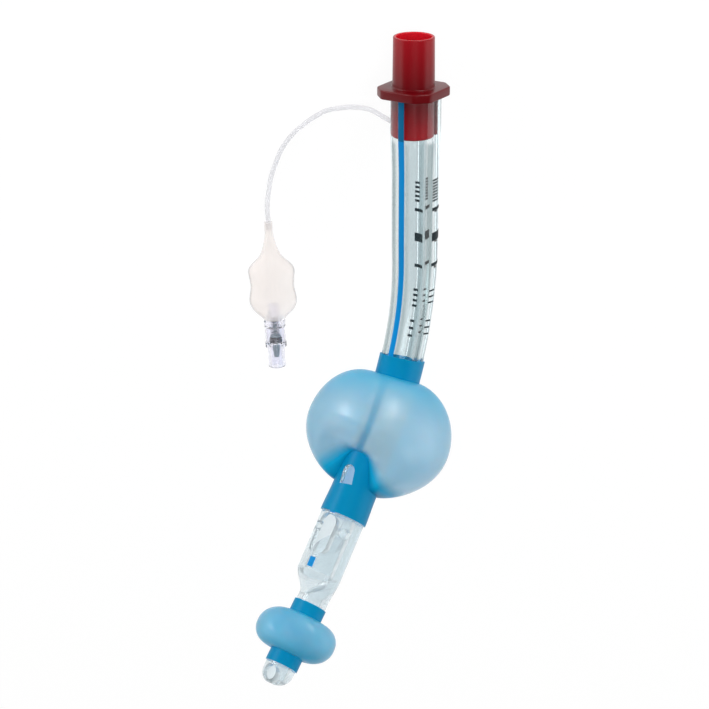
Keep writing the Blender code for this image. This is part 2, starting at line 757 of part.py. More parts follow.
def build_gullet_cuff(airway, material):
    """The small cuff round the tip tube, one blown film with a sleeve at each end."""
    top = tip_start() + GULLET_START
    centre = top + GULLET_SLEEVE + GULLET_HALF_LENGTH
    angles = [2.0 * math.pi * i / GULLET_SIDES for i in range(GULLET_SIDES)]
    neck = TIP_RADIUS + SEAT_GAP + GULLET_WALL

    def surface_point(axial, angle, swell):
        place = GULLET_PINCH_PLACE + GULLET_PINCH_SWING * axial
        offset = math.remainder(angle - place, 2.0 * math.pi)
        pinch = math.exp(-((offset / GULLET_PINCH_ANGLE) ** 2))
        radius = mix(neck, GULLET_RADIUS, swell * (1.0 - GULLET_PINCH_DEPTH * pinch))
        lean = math.tan(GULLET_LEAN) * math.cos(angle) * (radius - neck)
        station = centre + axial * GULLET_HALF_LENGTH + lean
        return section_point(station, angle, radius, radius, tip_drop())

    rings = []
    for station in (top, top + 0.5 * GULLET_SLEEVE):
        rings.append(round_section(station, neck, GULLET_SIDES))
    steps = 12
    for i in range(steps + 1):
        axial, radial = superellipse(math.pi * (i / steps - 0.5), GULLET_FULLNESS)
        rings.append([surface_point(axial, angle, radial) for angle in angles])
    low = centre + GULLET_HALF_LENGTH
    for share in (0.5, 1.0):
        rings.append(round_section(low + share * GULLET_LOWER_SLEEVE, neck, GULLET_SIDES))
    cuff = loft("gullet_cuff", rings, closed=False)
    solidify(cuff, GULLET_WALL)
    return finish_part(cuff, material, airway)


def lowest(points, rotation):
    """The height of the lowest point after a rotation."""
    return min((rotation @ point).z for point in points)


def settle(cuff_points, flange_points):
    """The rotation in which the large cuff and the flange both rest on the floor."""
    low, high = math.radians(-5.0), math.radians(25.0)
    for _ in range(40):
        pitch = (low + high) / 2.0
        rotation = Matrix.Rotation(-pitch, 3, "X") @ Matrix.Rotation(REST_ROLL, 3, "Y")
        if lowest(cuff_points, rotation) < lowest(flange_points, rotation):
            low = pitch
        else:
            high = pitch
    return rotation, -lowest(cuff_points, rotation)


def line_socket():
    """A cutter for the socket in the shaft's wall, and the place of its mouth."""
    width, depth = shaft_half_sizes(SOCKET_STATION)
    mouth = section_point(SOCKET_STATION, SOCKET_TURN, width, depth, SHAFT_AXIS_DROP)
    place = station_matrix(SOCKET_STATION, SOCKET_TURN)
    place.translation = mouth
    place = place @ Matrix.Rotation(-SOCKET_LEAN, 4, "X")
    diameter = 2.0 * (LINE_RADIUS + SEAT_GAP)
    cutter = oval_cutter("line_socket", diameter, diameter, -SOCKET_DEPTH, SOCKET_CUT_HEIGHT)
    cutter.matrix_local = place
    return cutter, place


def lens(half_width, half_thickness, flatness):
    """A closed section from a round one, at flatness 0, to a lens with sharp edges, at 1."""
    power = mix(0.5, 0.9, flatness)
    half = PILOT_SIDES // 2
    upper = []
    for i in range(1, half):
        across = math.cos(math.pi * i / half)
        height = half_thickness * (1.0 - across * across) ** power
        crease = math.exp(-((half_width * across / PILOT_CREASE_HALF_WIDTH) ** 2))
        height -= PILOT_CREASE_DEPTH * flatness * crease
        upper.append((half_width * across, height))
    lower = [(x, -z) for x, z in reversed(upper)]
    return [(half_width, 0.0)] + upper + [(-half_width, 0.0)] + lower


def build_pilot_balloon(carrier, material):
    """The pilot balloon, a pouch of film that is open at its neck and its tail."""
    throat_share = PILOT_THROAT_HALF_WIDTH / PILOT_SHOULDER_HALF_WIDTH
    plan = [
        (0.0, PILOT_NECK_RADIUS, PILOT_NECK_RADIUS, 0.0),
        (PILOT_NECK_LENGTH, PILOT_NECK_RADIUS, PILOT_NECK_RADIUS, 0.0),
        (
            mix(PILOT_NECK_LENGTH, PILOT_THROAT, 0.55),
            mix(PILOT_NECK_RADIUS, PILOT_THROAT_HALF_WIDTH, 0.42),
            mix(PILOT_NECK_RADIUS, throat_share * PILOT_HALF_THICKNESS, 0.5),
            0.3,
        ),
        (PILOT_THROAT, PILOT_THROAT_HALF_WIDTH, mix(throat_share, 1.0, 0.25) * PILOT_HALF_THICKNESS, 0.6),
        (
            mix(PILOT_THROAT, PILOT_SHOULDER, 0.25),
            mix(PILOT_THROAT_HALF_WIDTH, PILOT_SHOULDER_HALF_WIDTH, 0.30),
            mix(throat_share, 1.0, 0.5) * PILOT_HALF_THICKNESS,
            0.8,
        ),
        (
            mix(PILOT_THROAT, PILOT_SHOULDER, 0.72),
            mix(PILOT_THROAT_HALF_WIDTH, PILOT_SHOULDER_HALF_WIDTH, 0.87),
            mix(throat_share, 1.0, 0.8) * PILOT_HALF_THICKNESS,
            1.0,
        ),
        (PILOT_SHOULDER, PILOT_SHOULDER_HALF_WIDTH, 0.95 * PILOT_HALF_THICKNESS, 1.0),
        (
            mix(PILOT_SHOULDER, PILOT_WAIST, 0.5),
            mix(PILOT_SHOULDER_HALF_WIDTH, PILOT_WAIST_HALF_WIDTH, 0.6),
            PILOT_HALF_THICKNESS,
            1.0,
        ),
        (PILOT_WAIST, PILOT_WAIST_HALF_WIDTH, PILOT_HALF_THICKNESS, 1.0),
        (
            mix(PILOT_WAIST, PILOT_FOOT, 0.6),
            mix(PILOT_WAIST_HALF_WIDTH, PILOT_FOOT_HALF_WIDTH, 0.75),
            PILOT_HALF_THICKNESS,
            1.0,
        ),
        (PILOT_FOOT, PILOT_FOOT_HALF_WIDTH, PILOT_HALF_THICKNESS, 0.8),
        (
            mix(PILOT_FOOT, PILOT_LENGTH, 0.45),
            mix(PILOT_FOOT_HALF_WIDTH, PILOT_TAIL_RADIUS, 0.22),
            PILOT_HALF_THICKNESS,
            0.5,
        ),
        (
            mix(PILOT_FOOT, PILOT_LENGTH, 0.75),
            mix(PILOT_FOOT_HALF_WIDTH, PILOT_TAIL_RADIUS, 0.62),
            PILOT_HALF_THICKNESS,
            0.2,
        ),
        (PILOT_LENGTH, PILOT_TAIL_RADIUS, PILOT_TAIL_RADIUS, 0.0),
    ]
    rings = []
    for along, half_width, half_thickness, flatness in plan:
        outline = lens(half_width, half_thickness, flatness)
        rings.append([Vector((x, -along, z)) for x, z in outline])
    pouch = loft("pilot_balloon", rings, closed=False)
    solidify(pouch, PILOT_WALL)
    return finish_part(pouch, material, carrier)


def valve_place():
    """The valve's frame on the line's end: Z runs from the nipple to the mouth."""
    along = Matrix.Rotation(math.radians(90.0), 4, "X")
    return Matrix.Translation((0.0, -VALVE_PLACE, 0.0)) @ along


def turned_part(name, rising_profile, sides, carrier, material):
    """A turned piece of the valve; its outline is listed from nipple to mouth on the outside."""
    part = turned(name, list(reversed(rising_profile)), sides)
    part.matrix_local = valve_place()
    return finish_part(part, material, carrier)


def build_valve_housing(carrier, material):
    """The valve's housing: nipple, shoulder, step ring and chamber, hollow from end to end."""
    end = VALVE_LENGTH_TO_SEAT - SEAT_GAP
    ring_end = VALVE_RING_START + VALVE_RING_LENGTH
    body = VALVE_RADIUS - VALVE_RING_HEIGHT
    chamber = VALVE_RADIUS - VALVE_CHAMBER_WALL
    pocket_end = VALVE_POCKET_FLOOR + VALVE_POCKET_DEPTH
    return turned_part("valve_housing", [
        (VALVE_DUCT_RADIUS, 0.0),
        (VALVE_NIPPLE_RADIUS, 0.0),
        (VALVE_NIPPLE_RADIUS, VALVE_NIPPLE_LENGTH),
        (VALVE_SHOULDER_RADIUS, VALVE_RING_START - VALVE_SHOULDER_LENGTH),
        (VALVE_SHOULDER_RADIUS, VALVE_RING_START),
        (VALVE_RADIUS, VALVE_RING_START + VALVE_STEP),
        (VALVE_RADIUS, ring_end),
        (body, ring_end + VALVE_STEP),
        (body, end - VALVE_FOOT_LENGTH),
        (body - VALVE_FOOT_TAPER, end),
        (chamber, end),
        (chamber, pocket_end + POCKET_LEAD_IN),
        (VALVE_POCKET_RADIUS, pocket_end),
        (VALVE_POCKET_RADIUS, VALVE_POCKET_FLOOR),
        (VALVE_DUCT_RADIUS, VALVE_POCKET_FLOOR),
    ], VALVE_SIDES, carrier, material)


def build_valve_luer(carrier, material):
    """The valve's syringe end: a collar with the seat in it, and an open barrel."""
    start = VALVE_LENGTH_TO_SEAT
    collar_end = start + COLLAR_LENGTH
    end = collar_end + BARREL_LENGTH
    bead = EDGE_BEAD
    return turned_part("valve_luer", [
        (SEAT_HOLE_RADIUS, start),
        (VALVE_RADIUS - bead, start),
        (VALVE_RADIUS, start + bead),
        (VALVE_RADIUS, collar_end - bead),
        (VALVE_RADIUS - bead, collar_end),
        (BARREL_RADIUS, collar_end),
        (BARREL_RADIUS, end - bead),
        (BARREL_RADIUS - bead, end),
        (BARREL_BORE_RADIUS, end),
        (SEAT_HOLE_RADIUS + SEAT_HOLE_FLARE, collar_end),
    ], VALVE_SIDES, carrier, material)


def build_valve_seal(carrier, material):
    """The rubber disc that the spring holds against the seat."""
    end = VALVE_LENGTH_TO_SEAT - SEAT_GAP
    start = end - SEAL_THICKNESS
    bore = STEM_NECK_RADIUS + SEAT_GAP
    bead = EDGE_BEAD
    return turned_part("valve_seal", [
        (bore, start),
        (SEAL_RADIUS - bead, start),
        (SEAL_RADIUS, start + bead),
        (SEAL_RADIUS, end - bead),
        (SEAL_RADIUS - bead, end),
        (bore, end),
    ], VALVE_SIDES, carrier, material)


def build_valve_plunger(carrier, material):
    """The plunger: spring guide, head, neck through the seal, and the stem that a syringe pushes."""
    neck_start = VALVE_LENGTH_TO_SEAT - 2.0 * SEAT_GAP - SEAL_THICKNESS
    head_start = neck_start - HEAD_THICKNESS
    neck_end = VALVE_LENGTH_TO_SEAT
    tip = neck_end + STEM_REACH
    return turned_part("valve_plunger", [
        (0.0, head_start - GUIDE_LENGTH),
        (GUIDE_RADIUS, head_start - GUIDE_LENGTH),
        (GUIDE_RADIUS, head_start),
        (HEAD_RADIUS, head_start),
        (HEAD_RADIUS, neck_start),
        (STEM_NECK_RADIUS, neck_start),
        (STEM_NECK_RADIUS, neck_end),
        (STEM_RADIUS, neck_end + VALVE_STEP),
        (STEM_RADIUS, neck_end + STEM_COLLAR_LENGTH),
        (STEM_TIP_RADIUS, tip - STEM_TIP_ROUND),
        (STEM_TIP_RADIUS - STEM_TIP_ROUND, tip),
        (0.0, tip),
    ], VALVE_SIDES, carrier, material)


def poly_tube(name, points, radius, resolution):
    """A curve with a round section through the points, with its ends filled."""
    curve = bpy.data.curves.new(name, "CURVE")
    curve.dimensions = "3D"
    curve.bevel_depth = radius
    curve.bevel_resolution = resolution
    curve.use_fill_caps = True
    spline = curve.splines.new("POLY")
    spline.points.add(len(points) - 1)
    for item, point in zip(spline.points, points):
        item.co = (*point, 1.0)
    return bpy.data.objects.new(name, curve)


def finish_curve(part, material, carrier=None):
    """Put a curve in the model's collection with its material and its parent."""
    part.data.materials.append(material)
    part.parent = carrier
    PARTS.objects.link(part)
    return part


def build_valve_spring(carrier, material):
    """The spring between the pocket's floor and the plunger's head."""
    reach = SPRING_WIRE_RADIUS + SEAT_GAP
    start = VALVE_POCKET_FLOOR + reach
    end = VALVE_LENGTH_TO_SEAT - 2.0 * SEAT_GAP - SEAL_THICKNESS - HEAD_THICKNESS - reach
    count = SPRING_TURNS * SPRING_POINTS_PER_TURN
    points = []
    for i in range(count + 1):
        angle = 2.0 * math.pi * i / SPRING_POINTS_PER_TURN
        height = mix(start, end, i / count)
        points.append((SPRING_RADIUS * math.cos(angle), SPRING_RADIUS * math.sin(angle), height))
    spring = poly_tube("valve_spring", points, SPRING_WIRE_RADIUS, 1)
    spring.matrix_local = valve_place()
    return finish_curve(spring, material, carrier)


def smooth_route(points, spacing):
    """Points at even spacing on one smooth curve through the route's own points."""
    ends = [2.0 * points[0] - points[1]] + points + [2.0 * points[-1] - points[-2]]
    fine = []
    for before, start, end, after in zip(ends, ends[1:], ends[2:], ends[3:]):
        for i in range(ROUTE_STEPS):
            t = i / ROUTE_STEPS
            fine.append(0.5 * (
                2.0 * start + (end - before) * t
                + (2.0 * before - 5.0 * start + 4.0 * end - after) * t ** 2
                + (3.0 * start - before - 3.0 * end + after) * t ** 3
            ))
    fine.append(points[-1])
    lengths = [0.0]
    for first, second in zip(fine, fine[1:]):
        lengths.append(lengths[-1] + (second - first).length)
    count = round(lengths[-1] / spacing)
    route = []
    for i in range(count + 1):
        want = lengths[-1] * i / count
        j = 1
        while j < len(lengths) - 1 and lengths[j] < want:
            j += 1
        share = (want - lengths[j - 1]) / (lengths[j] - lengths[j - 1])
        route.append(fine[j - 1].lerp(fine[j], share))
    return route


def build_inflation_line(exit_place, carrier, material):
    """The inflation line: out of its socket, down to the floor, and up into the balloon's neck."""
    start = exit_place.translation
    outward = exit_place.to_3x3() @ Vector((0.0, 0.0, 1.0))
    neck = carrier.matrix_world.translation
    along = carrier.matrix_world.to_3x3() @ Vector((0.0, -1.0, 0.0))
    below = Vector((start.x, start.y, 0.0))
    route = [start + outward * (SEAT_GAP - SOCKET_DEPTH), start + outward * LINE_STRAIGHT_OUT]
    route += [below + Vector(point) for point in LINE_ROUTE]
    route.append(neck - along * LINE_LEVEL_OUT - Vector((0.0, 0.0, LINE_SAG)))
    route.append(neck - along * LINE_STRAIGHT_IN)
    route.append(neck + along * LINE_DEPTH_IN_NECK)
    points = smooth_route(route, LINE_SPACING)
    return finish_curve(poly_tube("inflation_line", points, LINE_RADIUS, 2), material)


def world_corners(parts):
    """The lowest and highest corners of the parts as evaluated."""
    bpy.context.view_layer.update()
    graph = bpy.context.evaluated_depsgraph_get()
    points = []
    for part in parts:
        shape = part.evaluated_get(graph)
        points += [shape.matrix_world @ vertex.co for vertex in shape.data.vertices]
    low = Vector([min(point[i] for point in points) for i in range(3)])
    high = Vector([max(point[i] for point in points) for i in range(3)])
    return low, high


def build():
    """Build every piece, lay the airway on the floor and centre it, then add the inflation line."""
    airway = bpy.data.objects.new("airway", None)
    PARTS.objects.link(airway)
    connector, flange_points = build_connector(airway, make_material(*CONNECTOR_RED))
    socket, socket_place = line_socket()
    shaft, window = build_shaft(airway, make_material(*SHAFT_CLEAR), socket)
    adapter = build_adapter(airway, make_material(*ADAPTER_CLEAR))
    tip = build_tip(airway, make_material(*TIP_CLEAR))
    large, cuff_points = build_pharynx_cuff(airway, make_material(*LARGE_CUFF_BLUE), window)
    small = build_gullet_cuff(airway, make_material(*SMALL_CUFF_BLUE))
    rotation, height = settle(cuff_points, flange_points)
    airway.matrix_world = Matrix.Translation((0.0, 0.0, height)) @ rotation.to_4x4()
    low, high = world_corners((connector, shaft, adapter, tip, large, small))
    airway.location -= Vector(((low.x + high.x) / 2.0, (low.y + high.y) / 2.0, 0.0))
    bpy.context.view_layer.update()

    exit_place = airway.matrix_world @ socket_place
    carrier = bpy.data.objects.new("line_end", None)
    PARTS.objects.link(carrier)
    start = exit_place.translation
    carrier.location = (start.x + PILOT_OFFSET[0], start.y + PILOT_OFFSET[1], VALVE_RADIUS)
    carrier.rotation_euler = (0.0, 0.0, PILOT_YAW)
    bpy.context.view_layer.update()
    build_pilot_balloon(carrier, make_material(*PILOT_FILM))
    build_valve_housing(carrier, make_material(*VALVE_CLEAR))
    build_valve_luer(carrier, make_material(*LUER_CLEAR))
    build_valve_seal(carrier, make_material(*SEAL_RUBBER))
    build_valve_plunger(carrier, make_material(*PLUNGER_GREY))
    build_valve_spring(carrier, make_material(*SPRING_STEEL))
    build_inflation_line(exit_place, carrier, make_material(*LINE_CLEAR))


build()
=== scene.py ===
"""Looks of the laryngeal tube: clear shaft, blue cuffs, red connector, and the inflation line.

Every length is in metres and every piece is built where the solid that it stands for lies. A
station is a distance along the axis of the airway lumen, counted from the connector's mouth.
"""

import logging
import math
from dataclasses import dataclass, field
from enum import Enum
from typing import Iterable, Optional, Sequence

import bmesh
import bpy
import numpy as np
from mathutils import Matrix, Vector


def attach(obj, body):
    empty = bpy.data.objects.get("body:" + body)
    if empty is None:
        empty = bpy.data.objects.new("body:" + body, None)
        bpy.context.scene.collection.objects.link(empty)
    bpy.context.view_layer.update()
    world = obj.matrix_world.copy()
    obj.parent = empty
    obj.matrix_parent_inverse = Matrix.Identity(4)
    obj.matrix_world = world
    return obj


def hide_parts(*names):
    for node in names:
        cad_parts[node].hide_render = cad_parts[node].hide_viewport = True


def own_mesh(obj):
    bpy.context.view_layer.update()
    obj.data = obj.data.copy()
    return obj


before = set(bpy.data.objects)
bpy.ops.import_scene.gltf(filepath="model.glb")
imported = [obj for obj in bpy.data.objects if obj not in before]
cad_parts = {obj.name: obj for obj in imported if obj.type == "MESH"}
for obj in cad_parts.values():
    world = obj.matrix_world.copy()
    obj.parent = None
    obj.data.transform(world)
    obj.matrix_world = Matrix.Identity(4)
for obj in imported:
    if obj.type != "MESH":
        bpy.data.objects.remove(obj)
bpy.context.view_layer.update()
LOG = logging.getLogger("laryngeal_tube")

Colour = tuple[float, float, float]
Point = tuple[float, float, float]
Profile = Sequence[tuple[float, float]]

HALF_TURN = math.pi / 2.0
CUT_PAST = 0.002  # how far a cutter goes past the end of what it cuts


class Body(Enum):
    """The bodies that pieces move with."""

    TUBE = "tube"
    PLUNGER = "plunger"


class Slot(Enum):
    """The record's material slots."""

    CONNECTOR = "connector_red"
    SHAFT = "shaft_clear"
    TIP = "tip_clear"
    CUFF = "cuff_blue"
    LINE = "line_clear"
    PILOT = "pilot_film"
    VALVE = "valve_clear"
    PLUNGER = "plunger_grey"
    SEAL = "seal_black"
    SPRING = "spring_steel"


def srgb(red: int, green: int, blue: int) -> Colour:
    """A colour in linear light from its three screen values, 0 to 255."""
    shares = (value / 255.0 for value in (red, green, blue))
    return tuple(s / 12.92 if s <= 0.04045 else ((s + 0.055) / 1.055) ** 2.4 for s in shares)


def smoothstep(value: float) -> float:
    """Ease from 0 to 1 while value goes from 0 to 1."""
    value = min(max(value, 0.0), 1.0)
    return value * value * (3.0 - 2.0 * value)


def mix(first: float, second: float, share: float) -> float:
    """The value at a share of the way from first to second."""
    return first + (second - first) * share


def circle_angles(sides: int) -> np.ndarray:
    """Angles evenly spread round a full turn."""
    return np.arange(sides) * (2.0 * math.pi / sides)


def quarter(count: int) -> list:
    """A quarter turn's points as what sine and cosine leave of 1, for a rounded edge."""
    return [(1.0 - math.sin(a), 1.0 - math.cos(a)) for a in np.linspace(0.0, HALF_TURN, count)]


def oval(width: float, length: float, count: int) -> list:
    """The outline of an oval, wide along X and long along Y."""
    return [(width / 2.0 * math.cos(a), length / 2.0 * math.sin(a)) for a in circle_angles(count)]


def link_object(name: str, data):
    """Put an object with its data in the scene."""
    made = bpy.data.objects.new(name, data)
    bpy.context.scene.collection.objects.link(made)
    return made


def mark_points(mesh, key: str, values) -> None:
    """Keep a named value for each point of a mesh, for materials to read."""
    attribute = mesh.attributes.new(key, "FLOAT", "POINT")
    attribute.data.foreach_set("value", np.asarray(values, dtype=np.float32).ravel())


def new_mesh_object(name: str, points: np.ndarray, faces: list, marks: Optional[dict] = None):
    """Make an object from points and faces, with its faces turned outwards.

    Args:
        name: The piece's name.
        points: World points, one row each.
        faces: Tuples of point numbers.
        marks: Named values for each point.

    Returns:
        The new object.
    """
    mesh = bpy.data.meshes.new(name)
    mesh.from_pydata([tuple(point) for point in points], [], faces)
    for key, values in (marks or {}).items():
        mark_points(mesh, key, values)
    bm = bmesh.new()
    bm.from_mesh(mesh)
    bmesh.ops.recalc_face_normals(bm, faces=bm.faces)
    bm.to_mesh(mesh)
    bm.free()
    return link_object(name, mesh)


def ring_faces(pairs: Iterable[tuple[int, int]], sides: int) -> list:
    """The faces between rings of points, for pairs of ring numbers."""
    return [(a * sides + i, a * sides + (i + 1) % sides, b * sides + (i + 1) % sides, b * sides + i)
            for a, b in pairs for i in range(sides)]


def loft(name: str, rings, closed: bool = True, marks: Optional[dict] = None):
    """Make a surface through rings of equally many points.

    Args:
        name: The piece's name.
        rings: Rings of world points.
        closed: Whether each end gets a face.
        marks: Named values for each point.

    Returns:
        The new object.
    """
    rings = np.array(rings)
    count, sides = rings.shape[:2]
    faces = ring_faces(zip(range(count - 1), range(1, count)), sides)
    if closed:
        faces += [tuple(range(sides)), tuple(range((count - 1) * sides, count * sides))]
    return new_mesh_object(name, rings.reshape(-1, 3), faces, marks)


def prism(name: str, outline: Profile, place: Matrix, low: float, high: float):
    """Make a prism between two heights above an outline that is drawn in a frame."""
    return loft(name, [[place @ Vector((x, y, z)) for x, y in outline] for z in (low, high)])


def turned(name: str, profile: Profile, sides: int, place: Matrix):
    """Turn a profile about Z; it is closed on the axis if it starts there, or else on itself.

    Args:
        name: The piece's name.
        profile: Pairs of radius and height.
        sides: Points round the turn.
        place: The frame that the profile is drawn in.

    Returns:
        The new object.
    """
    angles = circle_angles(sides)
    matrix = np.array(place)
    on_axis = profile[0][0] == 0.0
    rows = profile[1:-1] if on_axis else profile
    grid = np.concatenate([
        np.stack([radius * np.cos(angles), radius * np.sin(angles), np.full(sides, height)], 1)
        for radius, height in rows])
    last = len(rows) - 1 if on_axis else len(rows)
    faces = ring_faces([(row, (row + 1) % len(rows)) for row in range(last)], sides)
    if on_axis:
        grid = np.concatenate([grid, [[0.0, 0.0, profile[0][1]], [0.0, 0.0, profile[-1][1]]]])
        top, bottom, low_row = len(grid) - 2, len(grid) - 1, last * sides
        for side in range(sides):
            following = (side + 1) % sides
            faces += [(top, following, side), (bottom, low_row + side, low_row + following)]
    return new_mesh_object(name, grid @ matrix[:3, :3].T + matrix[:3, 3], faces)


def rounded(corners: Profile, radius: float, steps: int = 4) -> list:
    """Round the corners of a profile or outline, apart from ends on the axis.

    Args:
        corners: Pairs of coordinates.
        radius: The rounding, limited to a third of each side.
        steps: Points on each rounded corner, less one.

    Returns:
        The outline with more points.
    """
    corners = [Vector(point) for point in corners]
    ends = (0, len(corners) - 1) if corners[0].x == 0.0 else ()
    result: list = []
    for i, corner in enumerate(corners):
        if i in ends:
            result.append(tuple(corner))
            continue
        before = corners[i - 1] - corner
        after = corners[(i + 1) % len(corners)] - corner
        reach = min(radius, before.length / 3.0, after.length / 3.0)
        start = corner + before.normalized() * reach
        end = corner + after.normalized() * reach
        for t in np.linspace(0.0, 1.0, steps + 1):
            result.append(tuple(start * (1 - t) ** 2 + corner * 2 * t * (1 - t) + end * t ** 2))
    return result


def add_modifier(piece, kind: str, **values) -> None:
    """Add a modifier with its settings."""
    modifier = piece.modifiers.new(kind.lower(), kind)
    for key, value in values.items():
        setattr(modifier, key, value)


def apply_modifiers(piece) -> None:
    """Keep a piece's evaluated mesh and drop its modifiers."""
    bpy.context.view_layer.update()
    graph = bpy.context.evaluated_depsgraph_get()
    mesh = bpy.data.meshes.new_from_object(piece.evaluated_get(graph))
    piece.modifiers.clear()
    piece.data = mesh


def boolean(piece, cutters: Sequence, operation: str = "DIFFERENCE") -> None:
    """Cut a piece with others, or join them to it, apply the result and remove the others."""
    for cutter in cutters:
        add_modifier(piece, "BOOLEAN", operation=operation, solver="EXACT", object=cutter)
    apply_modifiers(piece)
    for cutter in cutters:
        bpy.data.objects.remove(cutter)


def dress(piece, finish: "Finish", slot: Slot, nodes: Sequence[str] = (), angle: Optional[float] = None,
          body: Body = Body.TUBE, shadow: bool = False):
    """Dress a piece, let it ride on its body and stand for its solids.

    Args:
        piece: The object.
        finish: Its finish.
        slot: The record's slot for it.
        nodes: Names of the solids that it stands for.
        angle: The angle in degrees above which its edges stay sharp, if it is a mesh to smooth.
        body: The body that it moves with.
        shadow: Whether it casts a shadow, as clear pieces don't.

    Returns:
        The same object.
    """
    if angle is not None:
        piece.data.shade_smooth()
        piece.data.set_sharp_from_angle(angle=math.radians(angle))
    piece.visible_shadow = shadow
    piece.data.materials.clear()
    piece.data.materials.append(finish.material())
    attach(piece, body.value)
    if nodes:
        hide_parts(*nodes)
    LOG.info("%s: %s", piece.name, slot.value)
    return piece


@dataclass(frozen=True)
class AirwayAxis:
    """The axis of the airway lumen and how the airway lies on the floor."""

    straight: float = 0.0840
    bend_radius: float = 0.1063
    bend_angle: float = math.radians(38.9)
    shaft_end: float = 0.2110
    tip_bend_radius: float = 0.1300
    tip_bend_angle: float = math.radians(5.0)
    roll: float = math.radians(-38.5)
    pitch: float = math.radians(0.8634)
    mouth: Point = (0.022082, 0.115595, 0.013790)

    def world(self) -> Matrix:
        """The place of the airway's own frame in the world."""
        turn = Matrix.Rotation(self.pitch, 4, "X") @ Matrix.Rotation(self.roll, 4, "Y")
        return Matrix.Translation(self.mouth) @ turn

    def local(self, station: float) -> tuple[Vector, Vector, Vector]:
        """The axis point at a station with its tipward and ventral directions, in its own frame."""
        bend = self.bend_radius * self.bend_angle
        runs = ((self.straight, 0.0), (bend, self.bend_angle),
                (self.shaft_end - self.straight - bend, 0.0),
                (self.tip_bend_radius * self.tip_bend_angle, self.tip_bend_angle), (math.inf, 0.0))
        point, turned_by, left = Vector((0.0, 0.0, 0.0)), 0.0, station
        for length, angle in runs:
            step = min(left, length)
            tipward = Vector((0.0, -math.cos(turned_by), math.sin(turned_by)))
            ventral = Vector((0.0, math.sin(turned_by), math.cos(turned_by)))
            turn = angle * step / length
            if turn > 0.0:
                radius = length / angle
                point += tipward * radius * math.sin(turn) + ventral * radius * (1.0 - math.cos(turn))
            else:
                point += tipward * step
            turned_by += turn
            left -= step
        return point, tipward, ventral

    def at(self, station: float) -> tuple[np.ndarray, np.ndarray, np.ndarray, np.ndarray]:
        """The axis point with its side, tipward and ventral directions, in the world."""
        place = self.world()
        turn = place.to_3x3()
        point, tipward, ventral = self.local(station)
        side = turn @ Vector((1.0, 0.0, 0.0))
        return tuple(np.array(v) for v in (place @ point, side, turn @ tipward, turn @ ventral))

    def section(self, station: float, half_width: float, half_depth: float, drop: float,
                angles: np.ndarray) -> np.ndarray:
        """Points of an oval round the tube; angles start at ventral and drop is dorsal."""
        point, side, _, ventral = self.at(station)
        across = half_width * np.sin(angles)
        front = half_depth * np.cos(angles) - drop
        return point + np.outer(across, side) + np.outer(front, ventral)

    def ring(self, station: float, radius: float, drop: float, angles: np.ndarray) -> np.ndarray:
        """Points of a circle round the tube."""
        return self.section(station, radius, radius, drop, angles)

    def frame_at(self, station: float, turn: float = 0.0) -> Matrix:
        """A frame at a station: Z points out at an angle from ventral, Y points to the mouth."""
        point, side, tipward, ventral = (Vector(v) for v in self.at(station))
        outward = ventral * math.cos(turn) + side * math.sin(turn)
        headward = -tipward
        matrix = Matrix((headward.cross(outward), headward, outward)).transposed().to_4x4()
        matrix.translation = point
        return matrix


AXIS = AirwayAxis()


def set_inputs(node, values: dict) -> None:
    """Set a node's inputs to constants, by name."""
    for key, value in values.items():
        node.inputs[key].default_value = value


class Nodes:
    """Short ways to add nodes to one node tree."""

    def __init__(self, tree: bpy.types.NodeTree) -> None:
        """Keep the tree."""
        self.tree = tree

    def add(self, kind: str, **values) -> bpy.types.Node:
        """Add a node and set its own properties."""
        node = self.tree.nodes.new(kind)
        for key, value in values.items():
            setattr(node, key, value)
        return node

    def link(self, source, target) -> None:
        """Join an output to an input."""
        self.tree.links.new(source, target)

    def feed(self, socket, value) -> None:
        """Give an input a number, a colour or another node's output."""
        if isinstance(value, (int, float)):
            socket.default_value = value
        elif isinstance(value, tuple):
            socket.default_value = (*value, 1.0)
        else:
            self.link(value, socket)

    def mark(self, key: str):
        """The value that a piece's points keep under a name."""
        return self.add("ShaderNodeAttribute", attribute_name=key).outputs["Fac"]

    def math(self, operation: str, first, second):
        """A Math node of two values or sockets; returns its output."""
        node = self.add("ShaderNodeMath", operation=operation)
        self.feed(node.inputs[0], first)
        self.feed(node.inputs[1], second)
        return node.outputs[0]

    def noise(self, vector, scale, detail: float = 3.0):
        """A noise texture; returns its value."""
        node = self.add("ShaderNodeTexNoise")
        self.feed(node.inputs["Scale"], scale)
        self.feed(node.inputs["Detail"], detail)
        self.link(vector, node.inputs["Vector"])
        return node.outputs["Fac"]

    def ramp(self, value, stops: Sequence[tuple[float, Colour]]):
        """A colour ramp through stops; returns its colour."""
        node = self.add("ShaderNodeValToRGB")
        elements = node.color_ramp.elements
        while len(elements) < len(stops):
            elements.new(0.5)
        for element, (place, colour) in zip(elements, stops):
            element.position = place
            element.color = (*colour, 1.0)
        self.link(value, node.inputs["Fac"])
        return node.outputs["Color"]

    def mix_colour(self, share, first, second):
        """Mix two colours or sockets by a share; returns the colour."""
        node = self.add("ShaderNodeMix", data_type="RGBA")
        for number, value in ((0, share), (6, first), (7, second)):
            self.feed(node.inputs[number], value)
        return node.outputs[2]


